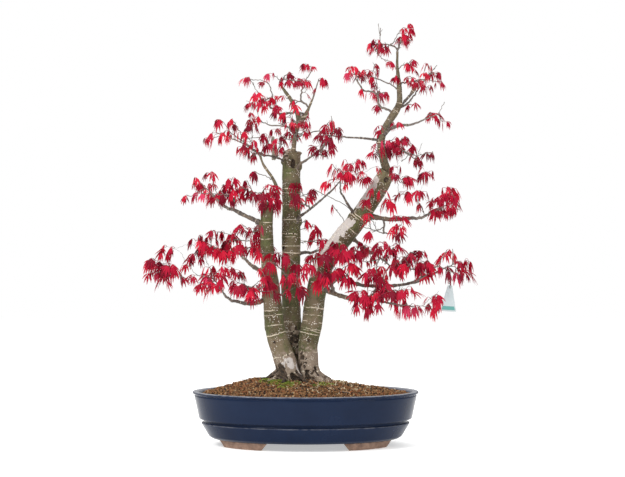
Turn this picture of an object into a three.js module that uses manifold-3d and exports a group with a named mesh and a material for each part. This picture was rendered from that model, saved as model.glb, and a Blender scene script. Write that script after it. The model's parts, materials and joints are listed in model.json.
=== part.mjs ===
// A three-trunked maple bonsai in a glazed oval pot, in millimetres, +Z up.
//
// The clump has three trunks on one root base. Each trunk was once cut back, and a thinner leader grows on
// from the cut. Boughs leave the trunks and leaders and end where they enter a mass of foliage. A mass is an
// uneven ellipsoid. Every solid keeps a hairline gap to its neighbours.

import * as THREE from "three";
import { mergeVertices } from "three/addons/utils/BufferGeometryUtils.js";
import Module from "manifold-3d";

const wasm = await Module();
wasm.setup();

// ---- Driving dimensions ---------------------------------------------------------------------------------

const GAP = 0.3; // kept between two solids that touch

const POT = {
  centre: -16, // the pot stands a little left of the crown's middle
  length: 520,
  width: 400,
  height: 124,
  footHeight: 17,
  ledgeHeight: 56, // the step between the lower and the upper band
  ledgeStep: 6,
  lip: 14, // width of the rim's flat top
  floor: 13, // thickness of the pot's bottom
  segments: 32,
};
POT.squeeze = POT.width / POT.length;

const FOOT = {
  start: 85, // from the pot's middle to the foot's inner end, along its length
  side: 42, // from the pot's middle to the foot's other end, across its width
  taper: 14, // how much each end leans in towards its bottom
  reach: 206, // from the pot's middle to the foot's outer face, along its length
  thickness: 30,
};

const SOIL = {
  edge: 8, // how far the soil lies below the rim at the pot's wall
  top: 152, // height of the flat ground that the clump stands on
  plateau: 76, // half-length of that flat ground
  shift: -44, // the mound's crest lies to the left of the pot's middle
  shoulder: { out: 48, drop: 9 }, // where the ground begins to fall away, beyond the plateau and below its top
  skirt: { radius: 190, rise: 0.38 }, // near the wall, as a share of the mound's height
};

const LIMB = { trunkSides: 12, leaderSides: 8, boughSides: 6, rootSides: 6 };

// Each trunk rises through stations of [height, x, y, radius], and spreads into roots of
// [azimuth in degrees, reach, radius].
const TRUNKS = {
  left: {
    stations: [
      [132, -48, -26, 38],
      [170, -56, -28, 28],
      [210, -69, -30, 23],
      [262, -86, -32, 22.5],
      [310, -90, -31, 22],
      [370, -95, -29, 19],
      [430, -103, -27, 15.5],
      [500, -105, -26, 14.5],
      [556, -103, -26, 13],
    ],
    roots: [
      [180, 54, 13],
      [215, 46, 9],
      [262, 42, 12],
      [318, 56, 12],
    ],
  },
  centre: {
    stations: [
      [132, -30, 24, 34],
      [175, -36, 26, 26],
      [230, -42, 27, 22],
      [305, -49, 27, 21.5],
      [380, -51, 26, 21.5],
      [470, -49, 25, 21.5],
      [565, -49, 24, 21],
      [673, -48, 22, 21],
    ],
    roots: [
      [60, 48, 11],
      [105, 52, 12],
      [150, 56, 10],
    ],
  },
  right: {
    stations: [
      [132, 0, -8, 34],
      [172, -9, -6, 25],
      [212, -14, -4, 23],
      [262, -3, -2, 23.5],
      [305, 2, -1, 23.5],
      [352, 9, 0, 23],
      [400, 20, 0, 21.5],
      [438, 39, 0, 20.5],
      [482, 76, -1, 19.5],
      [526, 110, -2, 19],
      [562, 137, -3, 19],
      [598, 155, -4, 20],
      [626, 172, -5, 20],
    ],
    roots: [
      [-52, 44, 11],
      [-12, 46, 12],
      [28, 50, 10],
    ],
  },
};

// The thinner growth above each cut, by the same kind of stations.
const LEADERS = {
  left: [
    [545, -95, -24, 6.5],
    [566, -76, -20, 5.5],
    [590, -82, -18, 5],
    [614, -91, -17, 4.5],
    [634, -108, -16, 4],
    [662, -122, -15, 3],
  ],
  centre: [
    [655, -45, 14, 8],
    [690, -43, 8, 7],
    [720, -38, 6, 6.5],
    [749, -31, 5, 7],
    [781, -43, 3, 4.5],
    [809, -60, 2, 3.5],
    [826, -75, 0, 2.5],
  ],
  right: [
    [616, 172, -6, 13],
    [645, 166, -8, 10.5],
    [694, 156, -9, 9.5],
    [733, 169, -8, 9],
    [760, 187, -7, 9],
    [780, 201, -6, 8.5],
    [808, 200, -5, 6.5],
    [843, 197, -4, 6],
    [877, 194, -3, 4],
    [902, 197, -3, 3],
  ],
};
const CROWN_FORK = [
  [747, -30, 5, 6],
  [752, -17, 3, 5.5],
  [772, -10, 1, 4.5],
  [795, 2, -2, 3.5],
];

// The dead stub that stands beside the centre trunk's leader.
const SNAG = [
  [664, -86, 18, 8],
  [684, -89, 16, 6.5],
  [708, -92, 14, 1.2],
];

// Each mass of foliage: its middle, its half sizes along, across and up, and the slope of its long side.
const MASSES = {
  left_low_tip: { at: [-318, -45, 394], half: [58, 62, 52], slope: 0 },
  left_low: { at: [-215, -80, 362], half: [56, 62, 48], slope: 4 },
  left_middle: { at: [-172, 70, 455], half: [86, 68, 38], slope: -14 },
  left_front: { at: [-112, -94, 358], half: [52, 52, 56], slope: 0 },
  left_high: { at: [-236, -25, 572], half: [66, 66, 47], slope: 4 },
  left_inner: { at: [-124, -38, 572], half: [44, 54, 46], slope: 0 },
  centre_left: { at: [-164, 8, 696], half: [76, 68, 48], slope: 5 },
  crown_left: { at: [-121, 12, 798], half: [54, 54, 48], slope: -8 },
  crown: { at: [-24, 0, 823], half: [58, 54, 40], slope: 0 },
  crown_low: { at: [-48, -10, 728], half: [56, 56, 40], slope: 0 },
  centre_right_high: { at: [42, -46, 702], half: [46, 52, 44], slope: -12 },
  centre_right: { at: [60, -66, 600], half: [38, 44, 34], slope: 0 },
  centre_back_right: { at: [26, 116, 450], half: [54, 56, 32], slope: 0 },
  centre_front: { at: [-40, -112, 382], half: [32, 42, 48], slope: 0 },
  centre_back: { at: [-48, 128, 714], half: [54, 58, 42], slope: 0 },
  top: { at: [180, 0, 921], half: [66, 52, 42], slope: 0 },
  top_left: { at: [147, -24, 814], half: [44, 50, 64], slope: 0 },
  top_right: { at: [262, 26, 834], half: [52, 54, 45], slope: 0 },
  leader_right: { at: [270, -32, 744], half: [62, 54, 34], slope: 4 },
  leader_right_low: { at: [232, 62, 660], half: [62, 60, 42], slope: 0 },
  right_top_left: { at: [110, -40, 620], half: [40, 46, 42], slope: 0 },
  right_upper: { at: [200, -26, 572], half: [48, 48, 38], slope: 0 },
  right_reach: { at: [292, -10, 540], half: [66, 58, 40], slope: -6 },
  right_middle: { at: [160, -60, 488], half: [62, 54, 38], slope: 0 },
  right_front: { at: [54, -70, 396], half: [58, 48, 52], slope: 0 },
  right_low_back: { at: [176, 74, 412], half: [80, 66, 42], slope: -8 },
  right_low: { at: [184, -82, 322], half: [118, 60, 36], slope: 2 },
  far_right: { at: [308, -6, 402], half: [76, 58, 36], slope: -16 },
};

// Each bough leaves a trunk or leader at a height, and runs to the middle of the mass that has its name or
// that it names. It hangs below the straight line by its sag, and bows sideways by its bow.
const BOUGHS = {
  left_low: { from: ["trunk", "left"], height: 342, radius: 6.5, sag: 26, bow: -6 },
  left_middle: { from: ["trunk", "left"], height: 395, radius: 6.5, sag: 14, bow: 8 },
  left_high: { from: ["trunk", "left"], height: 505, radius: 7, sag: 4, bow: 0 },
  centre_left: { from: ["trunk", "centre"], height: 655, radius: 5.5, sag: 8, bow: 6 },
  centre_right_high: { from: ["trunk", "centre"], height: 640, radius: 5, sag: 12, bow: -6 },
  centre_right: { from: ["trunk", "centre"], height: 512, radius: 5, sag: 10, bow: -6 },
  centre_back_right: { from: ["trunk", "centre"], height: 440, radius: 6, sag: 2, bow: 0 },
  centre_front: { from: ["trunk", "centre"], height: 402, radius: 5, sag: 4, bow: 8 },
  centre_back: { from: ["trunk", "centre"], height: 604, radius: 6, sag: 6, bow: 0 },
  right_low: { from: ["trunk", "right"], height: 362, radius: 7.5, sag: 8, bow: -6 },
  far_right: { from: ["trunk", "right"], height: 396, radius: 6.5, sag: 38, bow: 8 },
  right_low_back: { from: ["trunk", "right"], height: 486, radius: 6, sag: 2, bow: 4 },
  right_reach: { from: ["trunk", "right"], height: 530, radius: 7, sag: 18, bow: 4 },
  right_fork: { from: ["trunk", "right"], height: 522, radius: 4.5, sag: 2, bow: -8, to: "centre_right" },
  leader_left: { from: ["leader", "right"], height: 698, radius: 3.5, sag: -4, bow: 4, to: "centre_right_high" },
  top_right: { from: ["leader", "right"], height: 776, radius: 4.5, sag: -4, bow: 0 },
  leader_right: { from: ["leader", "right"], height: 722, radius: 4.5, sag: -3, bow: 0 },
  leader_right_low: { from: ["leader", "right"], height: 690, radius: 4.5, sag: -5, bow: 0 },
};
const LARGE_MASS = 64; // half-length above which a mass gets more facets
const BOUGH_TIP_SHARE = 0.42; // a bough's radius at the mass's middle, as a share of its radius at the trunk

// The blank label and the wire that it hangs on.
const TAG = { top: 10, bottom: 37, height: 60, thickness: 1.2, hole: 2, tie: 50, wire: 1, lean: 4 };
TAG.at = [315, -16, 337]; // middle of the label

const COLOURS = {
  glaze: { color: 0x1f2c4d, roughness: 0.25, metalness: 0 },
  clay: { color: 0x8a6a58, roughness: 0.85, metalness: 0 },
  soil: { color: 0x7b5637, roughness: 1, metalness: 0 },
  bark: { color: 0x77704f, roughness: 0.9, metalness: 0 },
  youngBark: { color: 0x6f6862, roughness: 0.85, metalness: 0 },
  deadwood: { color: 0xa39c8c, roughness: 0.9, metalness: 0 },
  leaves: { color: 0xb5122e, roughness: 0.6, metalness: 0 },
  tag: { color: 0xf2f2ee, roughness: 0.5, metalness: 0 },
};

// ---- Solids ---------------------------------------------------------------------------------------------

/** A closed three.js geometry as a manifold-3d solid. */
function solidOf(geometry) {
  const bare = new THREE.BufferGeometry();
  bare.setAttribute("position", geometry.getAttribute("position").clone());
  if (geometry.index) bare.setIndex(geometry.index.clone());
  const merged = mergeVertices(bare, 1e-3);
  const vertProperties = new Float32Array(merged.getAttribute("position").array);
  const triVerts = new Uint32Array(merged.index.array);
  return new wasm.Manifold(new wasm.Mesh({ numProp: 3, vertProperties, triVerts }));
}

/** A manifold-3d solid as a three.js geometry with flat facets. */
function geometryOf(solid) {
  const mesh = solid.getMesh();
  const geometry = new THREE.BufferGeometry();
  geometry.setAttribute("position", new THREE.BufferAttribute(new Float32Array(mesh.vertProperties), 3));
  geometry.setIndex(new THREE.BufferAttribute(new Uint32Array(mesh.triVerts), 1));
  return geometry;
}

/** The largest of a solid's separate pieces. */
function largestPiece(solid) {
  const pieces = solid.decompose();
  pieces.sort((a, b) => b.volume() - a.volume());
  return pieces[0];
}

/** Whether two solids' boxes meet. */
function boxesMeet(a, b) {
  const boxA = a.boundingBox();
  const boxB = b.boundingBox();
  return [0, 1, 2].every((k) => boxA.min[k] < boxB.max[k] && boxB.min[k] < boxA.max[k]);
}

/** A solid cut back from others, keeping its largest piece. */
function cutBack(solid, others) {
  const near = others.filter((other) => boxesMeet(solid, other));
  const left = near.reduce((rest, other) => rest.subtract(other), solid);
  return near.length ? largestPiece(left) : left;
}

// ---- Oval pot, feet and soil ----------------------------------------------------------------------------

/** A turned profile of [radius, height] points, squeezed into the pot's oval. */
function ovalGeometry(profile) {
  const points = profile.map(([radius, height]) => new THREE.Vector2(radius, height));
  const geometry = new THREE.LatheGeometry(points, POT.segments);
  geometry.rotateX(Math.PI / 2);
  geometry.scale(1, POT.squeeze, 1);
  return geometry.translate(POT.centre, 0, 0);
}

/** Radius of the pot's inner wall at a height, which leans like the outer bands. */
function innerRadius(height) {
  const rim = POT.length / 2 - POT.lip;
  const lean = 0.32;
  return rim - lean * (POT.height - height);
}

function potGeometry() {
  const rim = POT.length / 2;
  const foot = POT.footHeight;
  const ledge = POT.ledgeHeight;
  const ledgeRadius = rim - 17.5;
  const inside = foot + POT.floor;
  return ovalGeometry([
    [0, foot],
    [rim - 51, foot],
    [rim - 43, foot + 5],
    [ledgeRadius - POT.ledgeStep, ledge - 2],
    [ledgeRadius, ledge + 3],
    [rim - 1.5, POT.height - 5],
    [rim, POT.height - 2.5],
    [rim - 2, POT.height],
    [rim - POT.lip + 2, POT.height],
    [innerRadius(POT.height - 5), POT.height - 5],
    [innerRadius(inside + 14), inside + 14],
    [innerRadius(inside) - 14, inside],
    [0, inside],
  ]);
}

/** A block under the pot whose inner face stands off by start and leans in by the foot's taper. */
function leaningBlock(start, turn) {
  const top = POT.footHeight;
  const far = POT.length;
  const outline = new THREE.Shape([
    new THREE.Vector2(start + FOOT.taper, -1),
    new THREE.Vector2(far, -1),
    new THREE.Vector2(far, top),
    new THREE.Vector2(start, top),
  ]);
  const block = new THREE.ExtrudeGeometry(outline, { depth: 2 * far, bevelEnabled: false });
  block.translate(0, 0, -far).rotateX(Math.PI / 2).rotateZ(turn);
  return solidOf(block.translate(POT.centre, 0, 0));
}

/** One foot: a stretch of an oval ring under the pot, between a block's face across and another's along. */
function footSolid(sideX, sideY) {
  const top = POT.footHeight - GAP;
  const ring = solidOf(
    ovalGeometry([
      [FOOT.reach - FOOT.thickness, 0],
      [FOOT.reach - FOOT.taper / 2, 0],
      [FOOT.reach, top],
      [FOOT.reach - FOOT.thickness, top],
      [FOOT.reach - FOOT.thickness, 0],
    ]),
  );
  const across = leaningBlock(FOOT.start, sideX > 0 ? 0 : Math.PI);
  const along = leaningBlock(FOOT.side, (sideY * Math.PI) / 2);
  return ring.intersect(across).intersect(along);
}

/** The soil up to its mounded surface. */
function soilGeometry(grow = 0) {
  const inside = POT.footHeight + POT.floor + GAP;
  const wall = (height) => innerRadius(height) - 2 * GAP;
  const edge = POT.height - SOIL.edge;
  const geometry = ovalGeometry([
    [0, inside],
    [wall(inside) - 15, inside],
    [wall(inside + 14) - 1, inside + 14],
    [wall(edge), edge + grow],
    [SOIL.skirt.radius, edge + SOIL.skirt.rise * (SOIL.top - edge) + grow],
    [SOIL.plateau + SOIL.shoulder.out, SOIL.top - SOIL.shoulder.drop + grow],
    [SOIL.plateau, SOIL.top + grow],
    [0, SOIL.top + grow],
  ]);
  const position = geometry.getAttribute("position");
  for (let i = 0; i < position.count; i++) {
    const rise = THREE.MathUtils.smoothstep(position.getZ(i), edge, SOIL.top);
    position.setX(i, position.getX(i) + SOIL.shift * rise);
  }
  return geometry;
}

// ---- Limbs ----------------------------------------------------------------------------------------------

/** A smooth curve through stations of [height, x, y, radius], with its radius by curve parameter. */
function limbOf(stations) {
  const points = stations.map(([height, x, y]) => new THREE.Vector3(x, y, height));
  const radii = stations.map((station) => station[3]);
  const curve = new THREE.CatmullRomCurve3(points);
  const radiusAt = (t) => {
    const place = t * (radii.length - 1);
    const before = Math.min(Math.floor(place), radii.length - 2);
    return THREE.MathUtils.lerp(radii[before], radii[before + 1], place - before);
  };
  return { curve, radiusAt };
}

/** A closed cylinder bent along a limb and tapered with it; grow makes it that much fatter. */
function limbGeometry({ curve, radiusAt }, sides, steps, grow = 0) {
  const geometry = new THREE.CylinderGeometry(1, 1, 1, sides, steps);
  const frames = curve.computeFrenetFrames(steps, false);
  const position = geometry.getAttribute("position");
  const vertex = new THREE.Vector3();
  for (let i = 0; i < position.count; i++) {
    vertex.fromBufferAttribute(position, i);
    const step = Math.round((vertex.y + 0.5) * steps);
    const u = step / steps;
    const radius = radiusAt(curve.getUtoTmapping(u)) + grow;
    const centre = curve.getPointAt(u);
    centre.addScaledVector(frames.normals[step], vertex.z * radius);
    centre.addScaledVector(frames.binormals[step], vertex.x * radius);
    position.setXYZ(i, centre.x, centre.y, centre.z);
  }
  return geometry;
}

/** The point of a limb at a height. */
function pointAtHeight({ curve }, height) {
  const points = curve.getPoints(200);
  return points.reduce((best, p) => (Math.abs(p.z - height) < Math.abs(best.z - height) ? p : best));
}

/** A trunk with the roots that spread from its foot. */
function trunkSolid({ stations, roots }, grow = 0) {
  const limb = limbOf(stations);
  const steps = Math.round((stations.at(-1)[0] - stations[0][0]) / 46);
  let solid = solidOf(limbGeometry(limb, LIMB.trunkSides, steps, grow));
  const foot = pointAtHeight(limb, SOIL.top + 22);
  for (const [azimuth, reach, radius] of roots) {
    const angle = THREE.MathUtils.degToRad(azimuth);
    const spread = (share) => [foot.x + Math.cos(angle) * reach * share, foot.y + Math.sin(angle) * reach * share];
    const root = limbOf([
      [SOIL.top + 26, ...spread(0.12), radius],
      [SOIL.top + 9, ...spread(0.62), radius * 0.8],
      [SOIL.top - 4, ...spread(1.15), radius * 0.5],
    ]);
    solid = solid.add(solidOf(limbGeometry(root, LIMB.rootSides, 3, grow)));
  }
  return solid;
}

/** The path of a bough from its limb to the middle of its mass. */
function boughLimb({ from, height, radius, sag, bow }, mass) {
  const [kind, name] = from;
  const parent = limbOf(kind === "trunk" ? TRUNKS[name].stations : LEADERS[name]);
  const start = pointAtHeight(parent, height);
  const end = new THREE.Vector3(...mass.at);
  const run = end.clone().sub(start);
  const side = new THREE.Vector3(-run.y, run.x, 0).normalize();
  const between = (share) =>
    start
      .clone()
      .addScaledVector(run, share)
      .addScaledVector(side, bow * Math.sin(Math.PI * share))
      .add(new THREE.Vector3(0, 0, -sag * Math.sin(Math.PI * share)));
  const curve = new THREE.CatmullRomCurve3([start, between(0.35), between(0.7), end]);
  const radiusAt = (t) => radius * THREE.MathUtils.lerp(1, BOUGH_TIP_SHARE, t);
  return { curve, radiusAt };
}

// ---- Foliage --------------------------------------------------------------------------------------------

/** A smooth uneven number from about -1 to 1 for a direction, different for each seed. */
function unevenness(direction, seed) {
  const { x, y, z } = direction;
  const wide = Math.sin(2.6 * x + 1.7 * seed) * Math.cos(2.2 * y + 2.9 * seed);
  const fine = Math.sin(4.7 * y + 3.1 * z + 0.8 * seed) * Math.cos(4.1 * x - 2.6 * z + 1.3 * seed);
  return 0.55 * wide + 0.45 * fine;
}

/** An uneven ellipsoid with a flatter underside. */
function massGeometry({ at, half, slope }, seed, grow = 0) {
  const roughness = 0.2;
  const underside = 0.86;
  const geometry = new THREE.IcosahedronGeometry(1, half[0] > LARGE_MASS ? 2 : 1);
  const position = geometry.getAttribute("position");
  const direction = new THREE.Vector3();
  for (let i = 0; i < position.count; i++) {
    direction.fromBufferAttribute(position, i).normalize();
    const swell = 1 + roughness * unevenness(direction, seed);
    const lift = direction.z < 0 ? underside : 1;
    position.setXYZ(
      i,
      direction.x * (half[0] * swell + grow),
      direction.y * (half[1] * swell + grow),
      direction.z * (half[2] * swell * lift + grow),
    );
  }
  geometry.rotateY(THREE.MathUtils.degToRad(slope));
  return geometry.translate(...at);
}

// ---- Label ----------------------------------------------------------------------------------------------

/** A blank label with rounded shoulders, and the wire from its hole up into the foliage. */
function tagSolid() {
  const [x, y, z] = TAG.at;
  const high = TAG.height / 2;
  const outline = new THREE.Shape([
    new THREE.Vector2(-TAG.bottom / 2, -high),
    new THREE.Vector2(TAG.bottom / 2, -high),
    new THREE.Vector2(TAG.top / 2, high),
    new THREE.Vector2(-TAG.top / 2, high),
  ]);
  const holeHeight = high - 7;
  outline.holes.push(new THREE.Path().absarc(0, holeHeight, TAG.hole, 0, 2 * Math.PI, true));
  const plate = new THREE.ExtrudeGeometry(outline, { depth: TAG.thickness, bevelEnabled: false, curveSegments: 5 });
  plate.rotateX(Math.PI / 2);
  const wire = new THREE.CylinderGeometry(TAG.wire, TAG.wire, TAG.tie, 6);
  wire.rotateX(Math.PI / 2).translate(0, -TAG.thickness / 2, high - 3 + TAG.tie / 2);
  plate.rotateY(THREE.MathUtils.degToRad(TAG.lean));
  return solidOf(plate.translate(x, y, z)).add(solidOf(wire.translate(x, y, z)));
}

// ---- Assembly -------------------------------------------------------------------------------------------

const tree = new THREE.Group();
tree.name = "maple_bonsai";

function addMesh(name, geometry, finish) {
  const mesh = new THREE.Mesh(geometry, new THREE.MeshStandardMaterial(COLOURS[finish]));
  mesh.name = name;
  tree.add(mesh);
}

addMesh("pot", potGeometry(), "glaze");
for (const [end, sideX] of [["left", -1], ["right", 1]]) {
  for (const [face, sideY] of [["front", -1], ["back", 1]]) {
    addMesh(`foot_${face}_${end}`, geometryOf(footSolid(sideX, sideY)), "clay");
  }
}
addMesh("soil", soilGeometry(), "soil");

// Solids that later ones are cut back from, each grown by the gap.
const taken = [solidOf(soilGeometry(GAP))];

for (const [name, trunk] of Object.entries(TRUNKS)) {
  addMesh(`trunk_${name}`, geometryOf(cutBack(trunkSolid(trunk), taken)), "bark");
  taken.push(trunkSolid(trunk, GAP));
}

for (const [name, stations] of Object.entries(LEADERS)) {
  const limb = limbOf(stations);
  const leaderSolid = (grow) => {
    const stem = solidOf(limbGeometry(limb, LIMB.leaderSides, stations.length + 3, grow));
    if (name !== "centre") return stem;
    return stem.add(solidOf(limbGeometry(limbOf(CROWN_FORK), LIMB.leaderSides, 5, grow)));
  };
  addMesh(`leader_${name}`, geometryOf(cutBack(leaderSolid(0), taken)), "youngBark");
  taken.push(leaderSolid(GAP));
}

const snag = (grow) => solidOf(limbGeometry(limbOf(SNAG), LIMB.boughSides, 4, grow));
addMesh("snag", geometryOf(cutBack(snag(0), taken)), "deadwood");
taken.push(snag(GAP));

Object.entries(MASSES).forEach(([name, mass], seed) => {
  addMesh(`foliage_${name}`, geometryOf(cutBack(solidOf(massGeometry(mass, seed)), taken)), "leaves");
  taken.push(solidOf(massGeometry(mass, seed, GAP)));
});

for (const [name, bough] of Object.entries(BOUGHS)) {
  const limb = boughLimb(bough, MASSES[bough.to ?? name]);
  const boughSolid = (grow) => solidOf(limbGeometry(limb, LIMB.boughSides, 6, grow));
  addMesh(`bough_${name}`, geometryOf(cutBack(boughSolid(0), taken)), "youngBark");
  taken.push(boughSolid(GAP));
}

addMesh("tag", geometryOf(cutBack(tagSolid(), taken)), "tag");

// The origin is the middle of the whole object's box, on the plane that the feet stand on.
const box = new THREE.Box3().setFromObject(tree);
const middle = box.getCenter(new THREE.Vector3());
tree.position.set(-middle.x, -middle.y, -box.min.z);

export default tree;
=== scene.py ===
"""Looks for a potted maple bonsai: a clump of three trunks with open red foliage in an oval glazed pot.

Every sub-assembly is a class. Its sizes are in millimetres unless a name says otherwise, and its meshes are made
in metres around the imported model, whose nodes say where each part lies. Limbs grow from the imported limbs, and each
packed mass of foliage is replaced by twigs and leaves grown inside it by a seeded rule.
"""

from __future__ import annotations

import itertools
import json
import logging
import math
from abc import ABC, abstractmethod
from dataclasses import dataclass, field
from enum import Enum
from typing import Iterable, Sequence

import bpy
import numpy as np
from mathutils import Vector
from mathutils.bvhtree import BVHTree
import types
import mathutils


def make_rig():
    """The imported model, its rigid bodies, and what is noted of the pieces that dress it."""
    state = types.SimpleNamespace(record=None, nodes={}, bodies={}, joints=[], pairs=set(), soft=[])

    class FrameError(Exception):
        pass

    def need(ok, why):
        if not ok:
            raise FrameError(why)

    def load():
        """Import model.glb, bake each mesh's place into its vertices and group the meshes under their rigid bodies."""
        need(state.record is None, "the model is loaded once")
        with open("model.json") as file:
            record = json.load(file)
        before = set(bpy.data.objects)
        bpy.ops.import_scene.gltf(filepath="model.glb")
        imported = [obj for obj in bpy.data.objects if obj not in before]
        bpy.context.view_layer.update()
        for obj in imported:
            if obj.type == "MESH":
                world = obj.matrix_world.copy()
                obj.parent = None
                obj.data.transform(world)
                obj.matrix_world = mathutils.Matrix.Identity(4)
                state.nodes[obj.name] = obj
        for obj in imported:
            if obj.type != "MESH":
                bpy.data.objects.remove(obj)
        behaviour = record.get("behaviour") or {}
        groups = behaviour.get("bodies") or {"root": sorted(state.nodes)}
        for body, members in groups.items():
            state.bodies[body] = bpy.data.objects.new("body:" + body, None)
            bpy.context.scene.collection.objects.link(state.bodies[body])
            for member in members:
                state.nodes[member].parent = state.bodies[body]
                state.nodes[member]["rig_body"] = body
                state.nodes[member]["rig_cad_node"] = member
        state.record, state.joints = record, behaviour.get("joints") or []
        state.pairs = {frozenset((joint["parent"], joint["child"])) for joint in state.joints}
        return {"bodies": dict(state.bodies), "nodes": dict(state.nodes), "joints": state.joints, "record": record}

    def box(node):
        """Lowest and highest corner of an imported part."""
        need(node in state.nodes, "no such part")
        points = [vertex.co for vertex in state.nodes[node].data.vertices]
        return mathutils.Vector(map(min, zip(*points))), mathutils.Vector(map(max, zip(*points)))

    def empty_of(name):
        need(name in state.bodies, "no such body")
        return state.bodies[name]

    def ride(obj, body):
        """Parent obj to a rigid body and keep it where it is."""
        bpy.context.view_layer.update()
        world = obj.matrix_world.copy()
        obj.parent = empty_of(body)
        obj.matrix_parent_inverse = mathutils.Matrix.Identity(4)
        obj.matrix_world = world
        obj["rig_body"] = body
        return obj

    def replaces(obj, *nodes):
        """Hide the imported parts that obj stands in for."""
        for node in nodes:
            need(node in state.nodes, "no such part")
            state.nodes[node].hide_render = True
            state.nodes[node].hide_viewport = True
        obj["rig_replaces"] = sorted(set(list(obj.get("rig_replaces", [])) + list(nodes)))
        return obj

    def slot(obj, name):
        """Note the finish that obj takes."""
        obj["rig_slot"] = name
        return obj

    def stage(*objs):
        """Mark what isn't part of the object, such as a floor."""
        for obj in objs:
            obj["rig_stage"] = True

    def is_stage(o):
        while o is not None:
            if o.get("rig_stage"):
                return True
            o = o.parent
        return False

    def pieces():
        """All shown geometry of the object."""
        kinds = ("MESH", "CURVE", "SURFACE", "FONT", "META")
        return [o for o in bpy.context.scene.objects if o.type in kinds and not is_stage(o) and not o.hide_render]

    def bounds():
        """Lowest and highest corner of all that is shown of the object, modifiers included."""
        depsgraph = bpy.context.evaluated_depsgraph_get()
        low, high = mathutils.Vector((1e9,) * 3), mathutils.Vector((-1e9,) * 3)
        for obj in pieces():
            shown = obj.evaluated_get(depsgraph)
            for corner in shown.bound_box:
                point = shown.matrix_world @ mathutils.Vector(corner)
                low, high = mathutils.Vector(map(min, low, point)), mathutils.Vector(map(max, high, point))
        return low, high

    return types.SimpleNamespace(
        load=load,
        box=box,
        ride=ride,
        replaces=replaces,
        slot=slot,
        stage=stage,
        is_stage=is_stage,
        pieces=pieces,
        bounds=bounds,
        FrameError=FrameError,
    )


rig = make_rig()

LOG = logging.getLogger("maple_bonsai")
MM = 0.001
BODY = "root"
SIZE_FILE = "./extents.json"
UP = np.array([0.0, 0.0, 1.0])

Array = np.ndarray
Socket = bpy.types.NodeSocket
Tree = bpy.types.NodeTree


# ---- Colour and shader helpers ----------------------------------------------------------------------------


def linear(hex_colour: str) -> tuple[float, float, float, float]:
    """Turns an sRGB hex colour into linear light.

    Args:
        hex_colour: A colour such as "#1f2c4d".

    Returns:
        Linear red, green, blue and an alpha of one.
    """
    channels = [int(hex_colour[i : i + 2], 16) / 255 for i in (1, 3, 5)]
    red, green, blue = (c / 12.92 if c <= 0.04045 else ((c + 0.055) / 1.055) ** 2.4 for c in channels)
    return red, green, blue, 1.0


def add_node(
    tree: Tree,
    kind: str,
    inputs: dict[str | int, object] | None = None,
    out: str | int = 0,
    **settings: object,
) -> Socket:
    """Adds a shader node with its settings, values and links.

    Args:
        tree: The node tree.
        kind: The node's type name, without the "ShaderNode" that begins them all.
        inputs: For each socket, by name or place, a value or another node's output to link to it.
        out: Which of its outputs is wanted, by name or place.
        settings: The node's own properties.

    Returns:
        That output.
    """
    node = tree.nodes.new(f"ShaderNode{kind}")
    for name, value in settings.items():
        setattr(node, name, value)
    for socket, value in (inputs or {}).items():
        if isinstance(value, Socket):
            tree.links.new(value, node.inputs[socket])
        else:
            node.inputs[socket].default_value = value
    return node.outputs[out]


# Places of the colour sockets on a Mix node whose data type is RGBA.
MIX_A, MIX_B, MIX_RESULT = 6, 7, 2


def per_metre(size_mm: float) -> float:
    """Scale of a pattern whose features are this many millimetres apart, on coordinates in metres."""
    return 1 / (size_mm * MM)


class Attribute(Enum):
    """Values that a mesh carries at its vertices, for its finish to read."""

    ALONG = "along"  # metres along a limb
    WORN = "worn"  # 1 where old bark is smooth and pinkish grey
    BLEACHED = "bleached"  # 1 where bark is bare and whitish
    SCARRED = "scarred"  # 1 on cuts, and painted shade in knot pits, hollows, burl dips and root flutes
    RINGED = "ringed"  # 1 on pale callus
    THIN = "thin"  # 1 where glaze runs thin over an edge; on the rim top and the ledge's edge it is partly a painted highlight


# ---- Finishes ---------------------------------------------------------------------------------------------


class Finish(ABC):
    """How one real material was made and what that gives the eye."""

    name: str

    @abstractmethod
    def dress(self, tree: Tree, shader: bpy.types.Node) -> None:
        """Adds this finish's nodes.

        Args:
            tree: The material's node tree.
            shader: Its Principled BSDF.
        """

    def material(self) -> bpy.types.Material:
        """Makes this finish's material the first time it is asked for.

        Returns:
            The material.
        """
        made = bpy.data.materials.get(self.name)
        if made is None:
            made = bpy.data.materials.new(self.name)
            made.use_nodes = True
            self.dress(made.node_tree, made.node_tree.nodes["Principled BSDF"])
        return made

    @staticmethod
    def layer(tree: Tree, share: Socket, under: object, over: object, floor: float = 0) -> Socket:
        """Lays one colour over another.

        Args:
            tree: The material's node tree.
            share: How much of the upper colour shows, from 0 to 1.
            under: The lower colour, as a value or a socket.
            over: The upper colour.
            floor: The least that the upper colour shows.

        Returns:
            The colour that is seen.
        """
        if floor:
            share = add_node(tree, "MapRange", {"Value": share, "To Min": floor, "To Max": 1.0})
        return add_node(tree, "Mix", {0: share, MIX_A: under, MIX_B: over}, MIX_RESULT, data_type="RGBA")


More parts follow.
